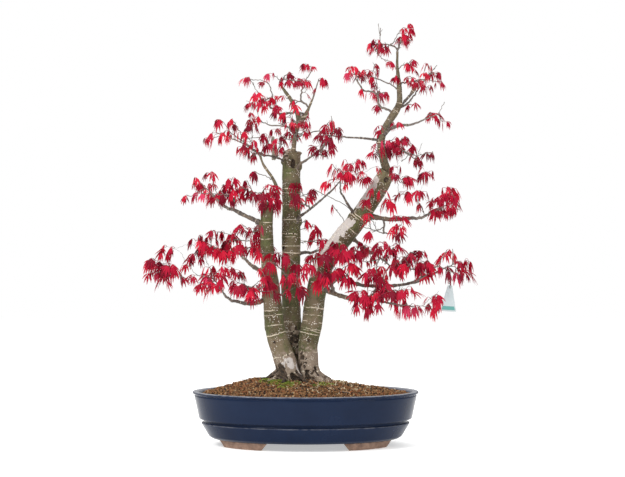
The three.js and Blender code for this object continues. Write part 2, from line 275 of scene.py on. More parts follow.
@dataclass(frozen=True)
class GlazedStoneware(Finish):
    """Stoneware dipped in a cobalt glaze: deep glossy blue, cloudy, greyer and paler where it ran thin, with a painted
    highlight in that pale grey on the rim top and the ledge.
    """

    name: str = "cobalt_glazed_stoneware"
    deep: str = "#0a162c"
    cloud: str = "#16253f"
    # pale grey of thin glaze, also laid as a painted highlight on the rim top and the ledge
    thin: str = "#81838b"
    cloud_mm: float = 70
    crawl_mm: float = 14  # size of the breaks in a thin edge
    ripple_mm: float = 9
    ripple_depth_mm: float = 0.4
    glossiest: float = 0.16
    dullest: float = 0.3
    ior: float = 1.5
    reflectivity: float = 0.12

    def dress(self, tree: Tree, shader: bpy.types.Node) -> None:
        """Adds the glaze's clouds, its thin edges, which carry a painted highlight, and its faint ripple.

        Args:
            tree: The material's node tree.
            shader: Its Principled BSDF.
        """
        place = add_node(tree, "TexCoord", out="Object")
        clouds = add_node(tree, "TexNoise", {"Vector": place, "Scale": per_metre(self.cloud_mm), "Detail": 4})
        body = self.layer(tree, clouds, linear(self.deep), linear(self.cloud))
        edge = add_node(tree, "Attribute", out="Fac", attribute_name=Attribute.THIN.value)
        crawl = add_node(tree, "TexNoise", {"Vector": place, "Scale": per_metre(self.crawl_mm), "Detail": 5})
        uneven = add_node(tree, "Math", {0: edge, 1: crawl}, operation="MULTIPLY")
        share = add_node(tree, "MapRange", {"Value": uneven, "From Min": 0.08, "From Max": 0.52})
        tree.links.new(self.layer(tree, share, body, linear(self.thin)), shader.inputs["Base Color"])
        gloss = {"From Min": 0.3, "From Max": 0.7, "To Min": self.glossiest, "To Max": self.dullest}
        tree.links.new(add_node(tree, "MapRange", {"Value": clouds, **gloss}), shader.inputs["Roughness"])
        shader.inputs["IOR"].default_value = self.ior
        shader.inputs["Specular IOR Level"].default_value = self.reflectivity
        ripple = add_node(tree, "TexNoise", {"Vector": place, "Scale": per_metre(self.ripple_mm), "Detail": 2})
        depth = self.ripple_depth_mm * MM
        bump = add_node(tree, "Bump", {"Strength": 0.18, "Distance": depth, "Height": ripple})
        tree.links.new(bump, shader.inputs["Normal"])


@dataclass(frozen=True)
class Mottled(Finish):
    """A dull two-tone surface, such as fired clay, dead wood or a grain of soil: mottled, rough and pitted."""

    name: str
    light: str
    dark: str
    mottle_mm: float
    pit_mm: float
    pit_depth_mm: float = 0.3
    roughness: float = 0.85

    def dress(self, tree: Tree, shader: bpy.types.Node) -> None:
        """Adds the mottling and the pits.

        Args:
            tree: The material's node tree.
            shader: Its Principled BSDF.
        """
        place = add_node(tree, "TexCoord", out="Object")
        coarse = {"Scale": per_metre(self.mottle_mm), "Detail": 5.0, "Roughness": 0.65}
        mottle = add_node(tree, "TexNoise", {"Vector": place, **coarse})
        share = add_node(tree, "MapRange", {"Value": mottle, "From Min": 0.35, "From Max": 0.65})
        colour = self.layer(tree, share, linear(self.dark), linear(self.light))
        tree.links.new(colour, shader.inputs["Base Color"])
        shader.inputs["Roughness"].default_value = self.roughness
        pits = add_node(tree, "TexNoise", {"Vector": place, "Scale": per_metre(self.pit_mm), "Detail": 3})
        depth = self.pit_depth_mm * MM
        bump = add_node(tree, "Bump", {"Strength": 0.6, "Distance": depth, "Height": pits})
        tree.links.new(bump, shader.inputs["Normal"])


@dataclass(frozen=True)
class MapleBark(Finish):
    """Living maple bark: olive and brown, flecked with pale lichen, with cream rings at old bud scars."""

    name: str
    olive: str
    brown: str
    shade: str
    ring_mm: float  # usual distance between rings
    ring_width: float  # as a share of that distance
    fleck_share: float
    fleck_mm: float = 4
    broad_mm: float = 26
    grain_mm: float = 5
    band_mm: float = 60
    waver_mm: float = 22
    gap_mm: float = 17
    ring: str = "#cfc3ad"
    fleck: str = "#ddd8cb"
    tan: str = "#7e6c58"
    worn: str = "#968777"
    bleached: str = "#c2bcb9"
    # Darkest colour of scar wood, which also serves as painted shade in pits, dips and grooves
    scar: str = "#1f1710"
    scar_light: str = "#5f4c39"
    roughness: float = 0.78
    relief_mm: float = 0.7
    fleck_bend_mm: float = 1.5
    ring_bend_mm: float = 7
    worn_edge_mm: float = 12  # size of the raggedness of each kind of patch's edge
    bleached_edge_mm: float = 7
    ringed_edge_mm: float = 3
    scarred_edge_mm: float = 4

    def dress(self, tree: Tree, shader: bpy.types.Node) -> None:
        """Adds the mottling, flecks, rings and the patches that the mesh marks, among them painted shade in pits and
        grooves.

        Args:
            tree: The material's node tree.
            shader: Its Principled BSDF.
        """
        place = add_node(tree, "TexCoord", out="Object")
        broad = add_node(tree, "TexNoise", {"Vector": place, "Scale": per_metre(self.broad_mm), "Detail": 4})
        fine = {"Scale": per_metre(self.grain_mm), "Detail": 6.0, "Roughness": 0.7}
        grain = add_node(tree, "TexNoise", {"Vector": place, **fine})
        broad_share = add_node(tree, "MapRange", {"Value": broad, "From Min": 0.38, "From Max": 0.62})
        grain_share = add_node(tree, "MapRange", {"Value": grain, "From Min": 0.42, "From Max": 0.66})
        body = self.layer(tree, broad_share, linear(self.olive), linear(self.brown))
        body = self.layer(tree, grain_share, linear(self.shade), body, floor=0.35)
        bands = add_node(tree, "TexNoise", {"Vector": place, "Scale": per_metre(self.band_mm), "Detail": 3})
        edges = {"From Min": 0.5, "From Max": 0.62, "To Max": 0.6}
        body = self.layer(tree, add_node(tree, "MapRange", {"Value": bands, **edges}), body, linear(self.tan))
        smooth = self.layer(tree, grain_share, linear(self.scar_light), linear(self.worn), floor=0.45)
        body = self.layer(tree, self.patch(tree, place, Attribute.WORN, self.worn_edge_mm), body, smooth)
        faded = self.layer(tree, grain, linear(self.worn), linear(self.bleached), floor=0.4)
        body = self.layer(tree, self.patch(tree, place, Attribute.BLEACHED, self.bleached_edge_mm), body, faded)
        body = self.layer(tree, self.flecks(tree, place, broad), body, linear(self.fleck))
        rings, ring_share = self.rings(tree, place)
        body = self.layer(tree, ring_share, body, linear(self.ring))
        body = self.layer(tree, self.patch(tree, place, Attribute.RINGED, self.ringed_edge_mm), body, linear(self.ring))
        # Near-black where the mesh marks scars: partly dark scar wood, partly painted shade in pits, dips and grooves
        rough = self.layer(tree, grain_share, linear(self.scar), linear(self.scar_light))
        body = self.layer(tree, self.patch(tree, place, Attribute.SCARRED, self.scarred_edge_mm), body, rough)
        tree.links.new(body, shader.inputs["Base Color"])
        shader.inputs["Roughness"].default_value = self.roughness
        height = add_node(tree, "Math", {0: rings, 1: 0.5, 2: grain}, operation="MULTIPLY_ADD")
        bump = add_node(tree, "Bump", {"Strength": 0.7, "Distance": self.relief_mm * MM, "Height": height})
        tree.links.new(bump, shader.inputs["Normal"])

    @staticmethod
    def patch(tree: Tree, place: Socket, mark: Attribute, ragged_mm: float) -> Socket:
        """A marked patch with a ragged edge.

        Args:
            tree: The material's node tree.
            place: The surface's coordinates.
            mark: The mesh attribute that marks the patch.
            ragged_mm: Size of the edge's raggedness.

        Returns:
            The patch's share, from 0 to 1.
        """
        marked = add_node(tree, "Attribute", out="Fac", attribute_name=mark.value)
        ragged = add_node(tree, "TexNoise", {"Vector": place, "Scale": per_metre(ragged_mm), "Detail": 4})
        both = add_node(tree, "Math", {0: marked, 1: ragged}, operation="ADD")
        return add_node(tree, "MapRange", {"Value": both, "From Min": 0.92, "From Max": 1.06})

    def flecks(self, tree: Tree, place: Socket, broad: Socket) -> Socket:
        """Pale flecks of lichen, thick in some places and missing in others.

        Args:
            tree: The material's node tree.
            place: The surface's coordinates.
            broad: A slow noise that says where flecks are thick.

        Returns:
            The flecks' share, from 0 to 1.
        """
        bent = add_node(tree, "TexNoise", {"Vector": place, "Scale": per_metre(3), "Detail": 2}, "Color")
        shift = {0: bent, 1: (self.fleck_bend_mm * MM,) * 3, 2: place}
        moved = add_node(tree, "VectorMath", shift, operation="MULTIPLY_ADD")
        cells = add_node(tree, "TexVoronoi", {"Vector": moved, "Scale": per_metre(self.fleck_mm)})
        spread = {"From Min": 0.38, "From Max": 0.62, "To Min": 0.08, "To Max": self.fleck_share}
        reach = add_node(tree, "MapRange", {"Value": broad, **spread})
        inside = add_node(tree, "Math", {0: reach, 1: cells}, operation="SUBTRACT")
        return add_node(tree, "MapRange", {"Value": inside, "From Min": 0.0, "From Max": 0.1, "To Max": 0.85})

    def rings(self, tree: Tree, place: Socket) -> tuple[Socket, Socket]:
        """Broken, wavering rings around the limb at uneven distances.

        Args:
            tree: The material's node tree.
            place: The surface's coordinates.

        Returns:
            The rings as a height, and as a share that is broken in places.
        """
        along = add_node(tree, "Attribute", out="Fac", attribute_name=Attribute.ALONG.value)
        waver = add_node(tree, "TexNoise", {"Vector": place, "Scale": per_metre(self.waver_mm), "Detail": 2})
        moved = add_node(tree, "Math", {0: waver, 1: self.ring_bend_mm * MM, 2: along}, operation="MULTIPLY_ADD")
        kind = {"voronoi_dimensions": "1D", "feature": "DISTANCE_TO_EDGE"}
        cells = add_node(tree, "TexVoronoi", {"W": moved, "Scale": per_metre(self.ring_mm)}, **kind)
        width = {"From Min": self.ring_width * 0.5, "From Max": self.ring_width, "To Min": 1.0, "To Max": 0.0}
        band = add_node(tree, "MapRange", {"Value": cells, **width})
        gaps = add_node(tree, "TexNoise", {"Vector": place, "Scale": per_metre(self.gap_mm), "Detail": 3})
        kept = add_node(tree, "MapRange", {"Value": gaps, "From Min": 0.44, "From Max": 0.56})
        return band, add_node(tree, "Math", {0: band, 1: kept}, operation="MULTIPLY")


@dataclass(frozen=True)
class PlainTint(Finish):
    """One plain colour, for things so small that their shape does the work, such as a leaf."""

    name: str
    colour: str
    roughness: float = 0.5
    glow: float = 0.0  # how much light passes just under the surface
    shine: float = 0.0  # light of its own
    reflectivity: float = 0.5

    def dress(self, tree: Tree, shader: bpy.types.Node) -> None:
        """Sets the colour and the gloss on the shader itself.

        Args:
            tree: The material's node tree.
            shader: Its Principled BSDF.
        """
        shader.inputs["Base Color"].default_value = linear(self.colour)
        shader.inputs["Roughness"].default_value = self.roughness
        shader.inputs["Subsurface Weight"].default_value = self.glow
        shader.inputs["Subsurface Scale"].default_value = 1.5 * MM
        shader.inputs["Specular IOR Level"].default_value = self.reflectivity
        if self.shine:
            shader.inputs["Emission Color"].default_value = linear(self.colour)
            shader.inputs["Emission Strength"].default_value = self.shine


# Bark of three ages: olive and ringed far apart on the trunks, browner and ringed closer when young.
MATURE_BARK = MapleBark("mature_maple_bark", "#5f6437", "#67563e", "#322c19", 38, 0.03, 0.36)
LEADER_BARK = MapleBark("maturing_maple_bark", "#6b644a", "#76664f", "#3d3528", 24, 0.04, 0.22)
YOUNG_BARK = MapleBark("young_maple_bark", "#72695f", "#665b53", "#3a3230", 16, 0.04, 0.12)
# Thin grey-brown bark, with a faint dull gloss.
TWIG_BARK = Mottled("twig_bark", "#82786f", "#4f4540", 7, 1.5, pit_depth_mm=0.2, roughness=0.7)
# Silvery, cracked and dry.
DEADWOOD = Mottled("weathered_deadwood", "#b9b2a2", "#6d6557", 6, 1.2, pit_depth_mm=0.5)
# Clay fired bare, so matt and cloudy.
BARE_CLAY = Mottled("unglazed_fired_clay", "#977a68", "#735a4c", 12, 1.0, roughness=0.8)
# Soft autumn leaves: hardly any gloss, and a little light passes through them.
LEAF_TINTS = tuple(
    PlainTint(f"maple_leaf_{name}", colour, roughness=0.6, glow=glow, reflectivity=0.15)
    for name, colour, glow in (
        ("crimson", "#a30a2c", 0.08),
        ("scarlet", "#b60f2e", 0.08),
        ("carmine", "#8f0a29", 0.08),
        ("wine", "#700a22", 0.05),
        ("rose", "#b93150", 0.1),
    )
)
LEAF_TINT_SHARES = (0.35, 0.24, 0.25, 0.12, 0.04)
PETIOLE = PlainTint("red_petiole", "#8c2533", roughness=0.45)
# Sieved granules, dry and dusty, so without any gloss.
GRAINS = tuple(
    Mottled(f"{name}_granule_{tone}", light, dark, 3, 0.8, roughness=1.0)
    for name, tone, light, dark in (
        ("clay", "tan", "#a68058", "#765435"),
        ("clay", "brown", "#85603a", "#573a1c"),
        ("clay", "russet", "#965f3b", "#633a21"),
        ("clay", "dark", "#3f2d1c", "#1e140b"),
        ("pumice", "pale", "#c9b797", "#957f5f"),
    )
)
GRAIN_SHARES = (0.27, 0.3, 0.2, 0.2, 0.03)
SOIL_BED = Mottled("damp_clay_soil", "#6b4a2c", "#33210f", 4, 1.5, pit_depth_mm=1.5, roughness=1.0)
MOSS = (PlainTint("moss_bright", "#94a838", roughness=0.8), PlainTint("moss_dark", "#56701f", roughness=0.8))
LITTER = PlainTint("dry_leaf_litter", "#cdbfa0", roughness=0.85)
# Moulded plastic, printed on both faces: a soft even sheen.
LABEL_PLASTIC = PlainTint("matt_white_plastic", "#b6c1c3", roughness=0.45, reflectivity=0.3)
LABEL_STRIPE = PlainTint("pale_green_ink", "#5f9c96", roughness=0.5, reflectivity=0.3)
DARK_WIRE = PlainTint("annealed_wire", "#4b4a47", roughness=0.5)
PALE_PAPER = PlainTint("pale_backlit_paper", "#f4f4f3", roughness=0.95, shine=0.5)


# ---- Arrays, noise and meshes -----------------------------------------------------------------------------


def unit(vectors: Array) -> Array:
    """Scales vectors to a length of one."""
    return vectors / np.maximum(np.linalg.norm(vectors, axis=-1, keepdims=True), 1e-12)


def circle(turn: Array) -> Array:
    """Points on a unit circle at these turns in radians, one a row."""
    return np.column_stack([np.cos(turn), np.sin(turn)])


def heading(turn: float, up: float = 0.0) -> Array:
    """A level unit direction at this turn in radians, with this much added upwards."""
    return np.array([math.cos(turn), math.sin(turn), up])


def arc(start: Array, middle: Array, end: Array, share: Array | float) -> Array:
    """Places on a curve that leaves its start towards a middle point and reaches its end from there."""
    return (1 - share) ** 2 * start + 2 * share * (1 - share) * middle + share * share * end


def copies(faces: Array, corners: int, count: int) -> Array:
    """Faces of this many copies of a shape, each with this many corners, one after another."""
    return (faces[None] + np.arange(count)[:, None, None] * corners).reshape(-1, faces.shape[1])


def closed_rings(count: int, sides: int) -> list[Array]:
    """Faces of a closed tube, whose ends' middles come after its rings of vertices.

    Args:
        count: How many rings there are.
        sides: How many vertices each ring has.

    Returns:
        The quads between the rings, and the triangles at its start and at its end.
    """
    place = np.arange(count * sides).reshape(count, sides)
    ahead = np.roll(place, -1, axis=1)
    quads = np.stack([place[:-1], ahead[:-1], ahead[1:], place[1:]], axis=-1).reshape(-1, 4)
    start = np.stack([np.full(sides, count * sides), ahead[0], place[0]], axis=-1)
    end = np.stack([np.full(sides, count * sides + 1), place[-1], ahead[-1]], axis=-1)
    return [quads, start, end]


def read_rows(items: bpy.types.bpy_prop_collection, key: str, width: int, kind: type = float) -> Array:
    """Reads one property of all of a mesh's vertices, loops or triangles.

    Args:
        items: The mesh's vertices, loops or triangles.
        key: The property.
        width: How many numbers it has.
        kind: The numbers' type.

    Returns:
        The numbers, one row for each item.
    """
    values = np.empty(len(items) * width, dtype=kind)
    items.foreach_get(key, values)
    return values.reshape(-1, width)


class Noise:
    """Smooth seeded noise from about -1 to 1, worked out for whole arrays of points at once."""

    CELLS = 4096

    def __init__(self, seed: int) -> None:
        """Deals out the values at the lattice's corners.

        Args:
            seed: Says which noise this is.
        """
        generator = np.random.default_rng(seed)
        self.order = generator.permutation(self.CELLS)
        self.values = generator.uniform(-1, 1, self.CELLS)

    def at(self, points: Array, size: float | Sequence[float]) -> Array:
        """Noise with features of one size.

        Args:
            points: Places, one a row.
            size: The lattice's spacing, the same way round as the points' units.

        Returns:
            One value for each point.
        """
        place = np.asarray(points) / np.asarray(size)
        cell = np.floor(place).astype(np.int64)
        share = place - cell
        share = share * share * (3 - 2 * share)
        total = np.zeros(len(place))
        for corner in itertools.product((0, 1), repeat=place.shape[1]):
            key = np.zeros(len(place), dtype=np.int64)
            weight = np.ones(len(place))
            for axis, step in enumerate(corner):
                key = self.order[(key + cell[:, axis] + step) % self.CELLS]
                weight *= share[:, axis] if step else 1 - share[:, axis]
            total += weight * self.values[key]
        return total

    def layered(self, points: Array, size: float | Sequence[float], layers: int = 3) -> Array:
        """Noise with finer and weaker layers on top.

        Args:
            points: Places, one a row.
            size: The coarsest layer's spacing.
            layers: How many layers there are, each half the size and strength of the one before.

        Returns:
            One value for each point.
        """
        return sum(self.at(points, np.asarray(size) / 2**k) / 2**k for k in range(layers))


@dataclass
class Soup:
    """Vertices and faces gathered from many small shapes, to be joined into one mesh."""

    points: list[Array] = field(default_factory=list)
    faces: list[list[int]] = field(default_factory=list)
    count: int = 0

    def add(self, points: Array, faces: Iterable[Array]) -> None:
        """Adds one shape.

        Args:
            points: Its vertices.
            faces: Arrays of its faces, each array with faces of one number of corners.
        """
        for some in faces:
            self.faces.extend((some + self.count).tolist())
        self.points.append(points)
        self.count += len(points)

    def piece(self, name: str, finish: Finish, smooth: bool = True) -> bpy.types.Object:
        """Makes the joined mesh as an object.

        Args:
            name: The object's name.
            finish: Its finish.
            smooth: Whether its faces are shaded smooth.

        Returns:
            The new object.
        """
        return make_piece(name, np.concatenate(self.points), self.faces, finish, smooth)


def make_piece(
    name: str, points: Array, faces: Sequence[Sequence[int]], finish: Finish, smooth: bool = True
) -> bpy.types.Object:
    """Makes an object from vertices and faces.

    Args:
        name: The object's name.
        points: Its vertices, in metres.
        faces: Its faces.
        finish: Its finish.
        smooth: Whether its faces are shaded smooth.

    Returns:
        The new object.
    """
    mesh = bpy.data.meshes.new(name)
    mesh.from_pydata(points.tolist(), [], list(faces))
    mesh.materials.append(finish.material())
    mesh.polygons.foreach_set("use_smooth", np.full(len(mesh.polygons), smooth))
    mesh.update()
    piece = bpy.data.objects.new(name, mesh)
    bpy.context.scene.collection.objects.link(piece)
    return piece


def mark(piece: bpy.types.Object, attribute: Attribute, values: Array) -> None:
    """Writes a value at each of a piece's vertices.

    Args:
        piece: The piece.
        attribute: Which value it is.
        values: One number for each vertex.
    """
    layer = piece.data.attributes.new(attribute.value, "FLOAT", "POINT")
    layer.data.foreach_set("value", np.asarray(values, dtype=np.float32))


def settle(piece: bpy.types.Object, slot: str, nodes: Iterable[str] = ()) -> None:
    """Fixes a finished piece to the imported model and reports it.

    Args:
        piece: The piece.
        slot: The record's material slot that it takes its finish from.
        nodes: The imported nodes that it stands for.
    """
    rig.ride(piece, BODY)
    if nodes:
        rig.replaces(piece, *nodes)
    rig.slot(piece, slot)
    LOG.info("%s: %d faces", piece.name, len(piece.data.polygons))


def centre_of(node: str) -> tuple[Array, Array]:
    """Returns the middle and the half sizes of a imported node's box."""
    low, high = (np.array(corner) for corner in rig.box(node))
    return (low + high) / 2, (high - low) / 2


# ---- Limbs: lines with radii, tubes and sections ----------------------------------------------------------


@dataclass
class Limb:
    """A line with a radius at each of its points, in metres."""

    points: Array
    radii: Array

    def lengths(self) -> Array:
        """Distance along the line to each point."""
        steps = np.linalg.norm(np.diff(self.points, axis=0), axis=1)
        return np.concatenate([[0.0], np.cumsum(steps)])

    def resampled(self, spacing: float, soften: int = 0) -> Limb:
        """The same limb with even steps.

        Args:
            spacing: About how long each step is.
            soften: How often each inner point is moved towards its neighbours' middle.

        Returns:
            The new limb.
        """
        lengths = self.lengths()
        places = np.linspace(0, lengths[-1], max(4, round(lengths[-1] / spacing) + 1))
        points = np.column_stack([np.interp(places, lengths, self.points[:, k]) for k in range(3)])
        radii = np.interp(places, lengths, self.radii)
        for _ in range(soften):
            points[1:-1] = 0.5 * points[1:-1] + 0.25 * (points[:-2] + points[2:])
            radii[1:-1] = 0.5 * radii[1:-1] + 0.25 * (radii[:-2] + radii[2:])
        return Limb(points, radii)

    def directions(self) -> Array:
        """Unit direction of the line at each point."""
        return unit(np.gradient(self.points, axis=0))

    def frames(self) -> tuple[Array, Array, Array]:
        """Directions and two crosswise axes at each point, turned as little as can be between points."""
        along = self.directions()
        least = np.eye(3)[np.argmin(np.abs(along[0]))]
        side = unit(np.cross(along[0], least))
        sides = [side]
        for direction in along[1:]:
            side = unit(side - direction * np.dot(side, direction))
            sides.append(side)
        across = np.array(sides)
        return along, across, np.cross(along, across)

    def tube(self, sides: int) -> tuple[Array, list[Array]]:
        """A closed tube around the limb.

        Args:
            sides: How many sides it has.

        Returns:
            Its vertices, ring by ring and then the two ends' middles, and its faces.
        """
        along, across, other = self.frames()
        turn = np.linspace(0, 2 * math.pi, sides, endpoint=False)
        spokes = np.cos(turn)[None, :, None] * across[:, None] + np.sin(turn)[None, :, None] * other[:, None]
        rings = self.points[:, None] + self.radii[:, None, None] * spokes
        start = self.points[0] - 0.3 * self.radii[0] * along[0]
        end = self.points[-1] + 0.5 * self.radii[-1] * along[-1]
        return np.concatenate([rings.reshape(-1, 3), [start, end]]), closed_rings(len(rings), sides)


@dataclass
class Solid:
    """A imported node's vertices and triangles."""

    points: Array
    triangles: Array

    @classmethod
    def of(cls, node: bpy.types.Object) -> Solid:
        """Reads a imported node's mesh.

        Args:
            node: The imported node.

        Returns:
            Its vertices and triangles, in metres.
        """
        mesh = node.data
        mesh.calc_loop_triangles()
        return cls(read_rows(mesh.vertices, "co", 3), read_rows(mesh.loop_triangles, "vertices", 3, np.int64))

    def section(self, origin: Array, normal: Array) -> list[tuple[Array, float]]:
        """Cuts the solid with a plane.

        Args:
            origin: A point on the plane.
            normal: The plane's normal.

        Returns:
            For each separate outline of the cut, its middle and its mean radius.
        """
        height = (self.points - origin) @ normal
        segments = []
        above = (height[self.triangles] > 0).sum(axis=1)
        for corners in self.triangles[(above > 0) & (above < 3)]:
            ends = []
            for a, b in itertools.combinations(corners, 2):
                if (height[a] > 0) != (height[b] > 0):
                    share = height[a] / (height[a] - height[b])
                    ends.append(self.points[a] + share * (self.points[b] - self.points[a]))
            segments.append(ends)
        return [self.outline(loop) for loop in self.loops(segments)]

    @staticmethod
    def loops(segments: list[list[Array]]) -> list[list[list[Array]]]:
        """Sorts segments into the separate outlines that they form.

        Args:
            segments: Pairs of points.

        Returns:
            The segments of each outline.
        """
        owner: dict[tuple[int, ...], int] = {}
        groups: dict[int, list[list[Array]]] = {}
        for number, ends in enumerate(segments):
            groups[number] = [ends]
            keys = [tuple(np.round(end * 1e6).astype(int)) for end in ends]
            for key in keys:
                other = owner.get(key)
                if other is not None and other != number:
                    groups[number].extend(groups.pop(other))
                    for known, who in owner.items():
                        if who == other:
                            owner[known] = number
                owner[key] = number
        return list(groups.values())

    @staticmethod
    def outline(loop: list[list[Array]]) -> tuple[Array, float]:
        """Middle and mean radius of one outline.

        Args:
            loop: The outline's segments.

        Returns:
            Its middle, and its mean distance from there.
        """
        ends = np.array(loop)
        middles = ends.mean(axis=1)
        weights = np.linalg.norm(ends[:, 1] - ends[:, 0], axis=1) + 1e-9
        centre = np.average(middles, axis=0, weights=weights)
        return centre, float(np.average(np.linalg.norm(middles - centre, axis=1), weights=weights))

    def limbs(self, axis: Array, spacing: float) -> list[Limb]:
        """Finds the lines that run up through a solid made of limbs.

        Args:
            axis: The direction that the limbs run in, roughly.
            spacing: Distance between the cuts.

        Returns:
            One limb for the stem, and one for each fork, which begins on the stem.
        """
        heights = self.points @ axis
        low, high = heights.min(), heights.max()
        cuts = np.linspace(low, high, max(4, round((high - low) / spacing)) + 1)[1:-1]
        cuts = np.concatenate([[low + 0.02 * spacing], cuts, [high - 0.02 * spacing]])
        lines: list[list[tuple[Array, float]]] = []
        for cut in cuts:
            open_ends = {number: line[-1][0] for number, line in enumerate(lines)}
            fresh: list[list[tuple[Array, float]]] = []
            for centre, radius in sorted(self.section(axis * cut, axis), key=lambda found: -found[1]):
                near = sorted(open_ends, key=lambda number: np.linalg.norm(open_ends[number] - centre))
                if near and np.linalg.norm(open_ends[near[0]] - centre) < 3 * spacing:
                    lines[near[0]].append((centre, radius))
                    del open_ends[near[0]]
                elif lines:
                    root = min(
                        (place for line in lines for place in line),
                        key=lambda place: np.linalg.norm(place[0] - centre),
                    )
                    fresh.append([root, (centre, radius)])
                else:
                    fresh.append([(centre, radius)])
            lines.extend(fresh)
        return [
            Limb(np.array([place[0] for place in line]), np.array([place[1] for place in line]))
            for line in lines
            if len(line) > 2
        ]


def along_of(limb: Limb, sides: int) -> Array:
    """Distance along a limb at each vertex of its tube."""
    lengths = limb.lengths()
    return np.concatenate([np.repeat(lengths, sides), lengths[[0, -1]]])


@dataclass
class Skin:
    """A fine closed surface of quads, which can be smoothed and given relief."""

    points: Array
    faces: Array

    @classmethod
    def around(cls, shapes: Soup, voxel_mm: float) -> Skin:
        """Wraps overlapping shapes in one even surface.

        Args:
            shapes: The shapes.
            voxel_mm: About how wide each face is.

        Returns:
            The surface.
        """
        block = shapes.piece("wrapped_block", BARE_CLAY)
        wrap = block.modifiers.new("wrap", "REMESH")
        wrap.mode = "VOXEL"
        wrap.voxel_size = voxel_mm * MM
        mesh = bpy.data.meshes.new_from_object(block.evaluated_get(bpy.context.evaluated_depsgraph_get()))
        points = read_rows(mesh.vertices, "co", 3)
        faces = read_rows(mesh.loops, "vertex_index", 1, np.int64).reshape(-1, 4)
        bpy.data.meshes.remove(mesh)
        bpy.data.meshes.remove(block.data)
        return cls(points, faces)

    def smooth(self, rounds: int) -> None:
        """Evens out the surface, with a push back after each round so that it doesn't shrink.

        Args:
            rounds: How many rounds there are.
        """
        pairs = np.concatenate([self.faces[:, [k, (k + 1) % 4]] for k in range(4)])
        pairs = np.unique(np.sort(pairs, axis=1), axis=0)
        ends, others = np.concatenate([pairs, pairs[:, ::-1]]).T
        count = np.bincount(ends, minlength=len(self.points))[:, None]
        for share in [0.5, -0.53] * rounds:
            total = np.column_stack(
                [np.bincount(ends, self.points[others, k], minlength=len(self.points)) for k in range(3)]
            )
            self.points = self.points + share * (total / count - self.points)

    def normals(self) -> Array:
        """Unit normal at each vertex."""
        corners = self.points[self.faces]
        across = np.cross(corners[:, 2] - corners[:, 0], corners[:, 3] - corners[:, 1])
        total = np.zeros_like(self.points)
        for k in range(4):
            for axis in range(3):
                total[:, axis] += np.bincount(self.faces[:, k], across[:, axis], minlength=len(self.points))
        return unit(total)

    def raise_by(self, height: Array) -> None:
        """Moves each vertex out along its normal by a height in metres."""
        self.points = self.points + self.normals() * height[:, None]

    def piece(self, name: str, finish: Finish) -> bpy.types.Object:
        """Makes the surface as an object."""
        return make_piece(name, self.points, self.faces.tolist(), finish)


def falloff(distance: Array, size: float) -> Array:
    """One in the middle of a mark, easing to zero at its edge."""
    share = np.clip(1.4 * (1 - distance / size), 0, 1)
    return share * share * (3 - 2 * share)


# ---- Pot and feet -----------------------------------------------------------------------------------------


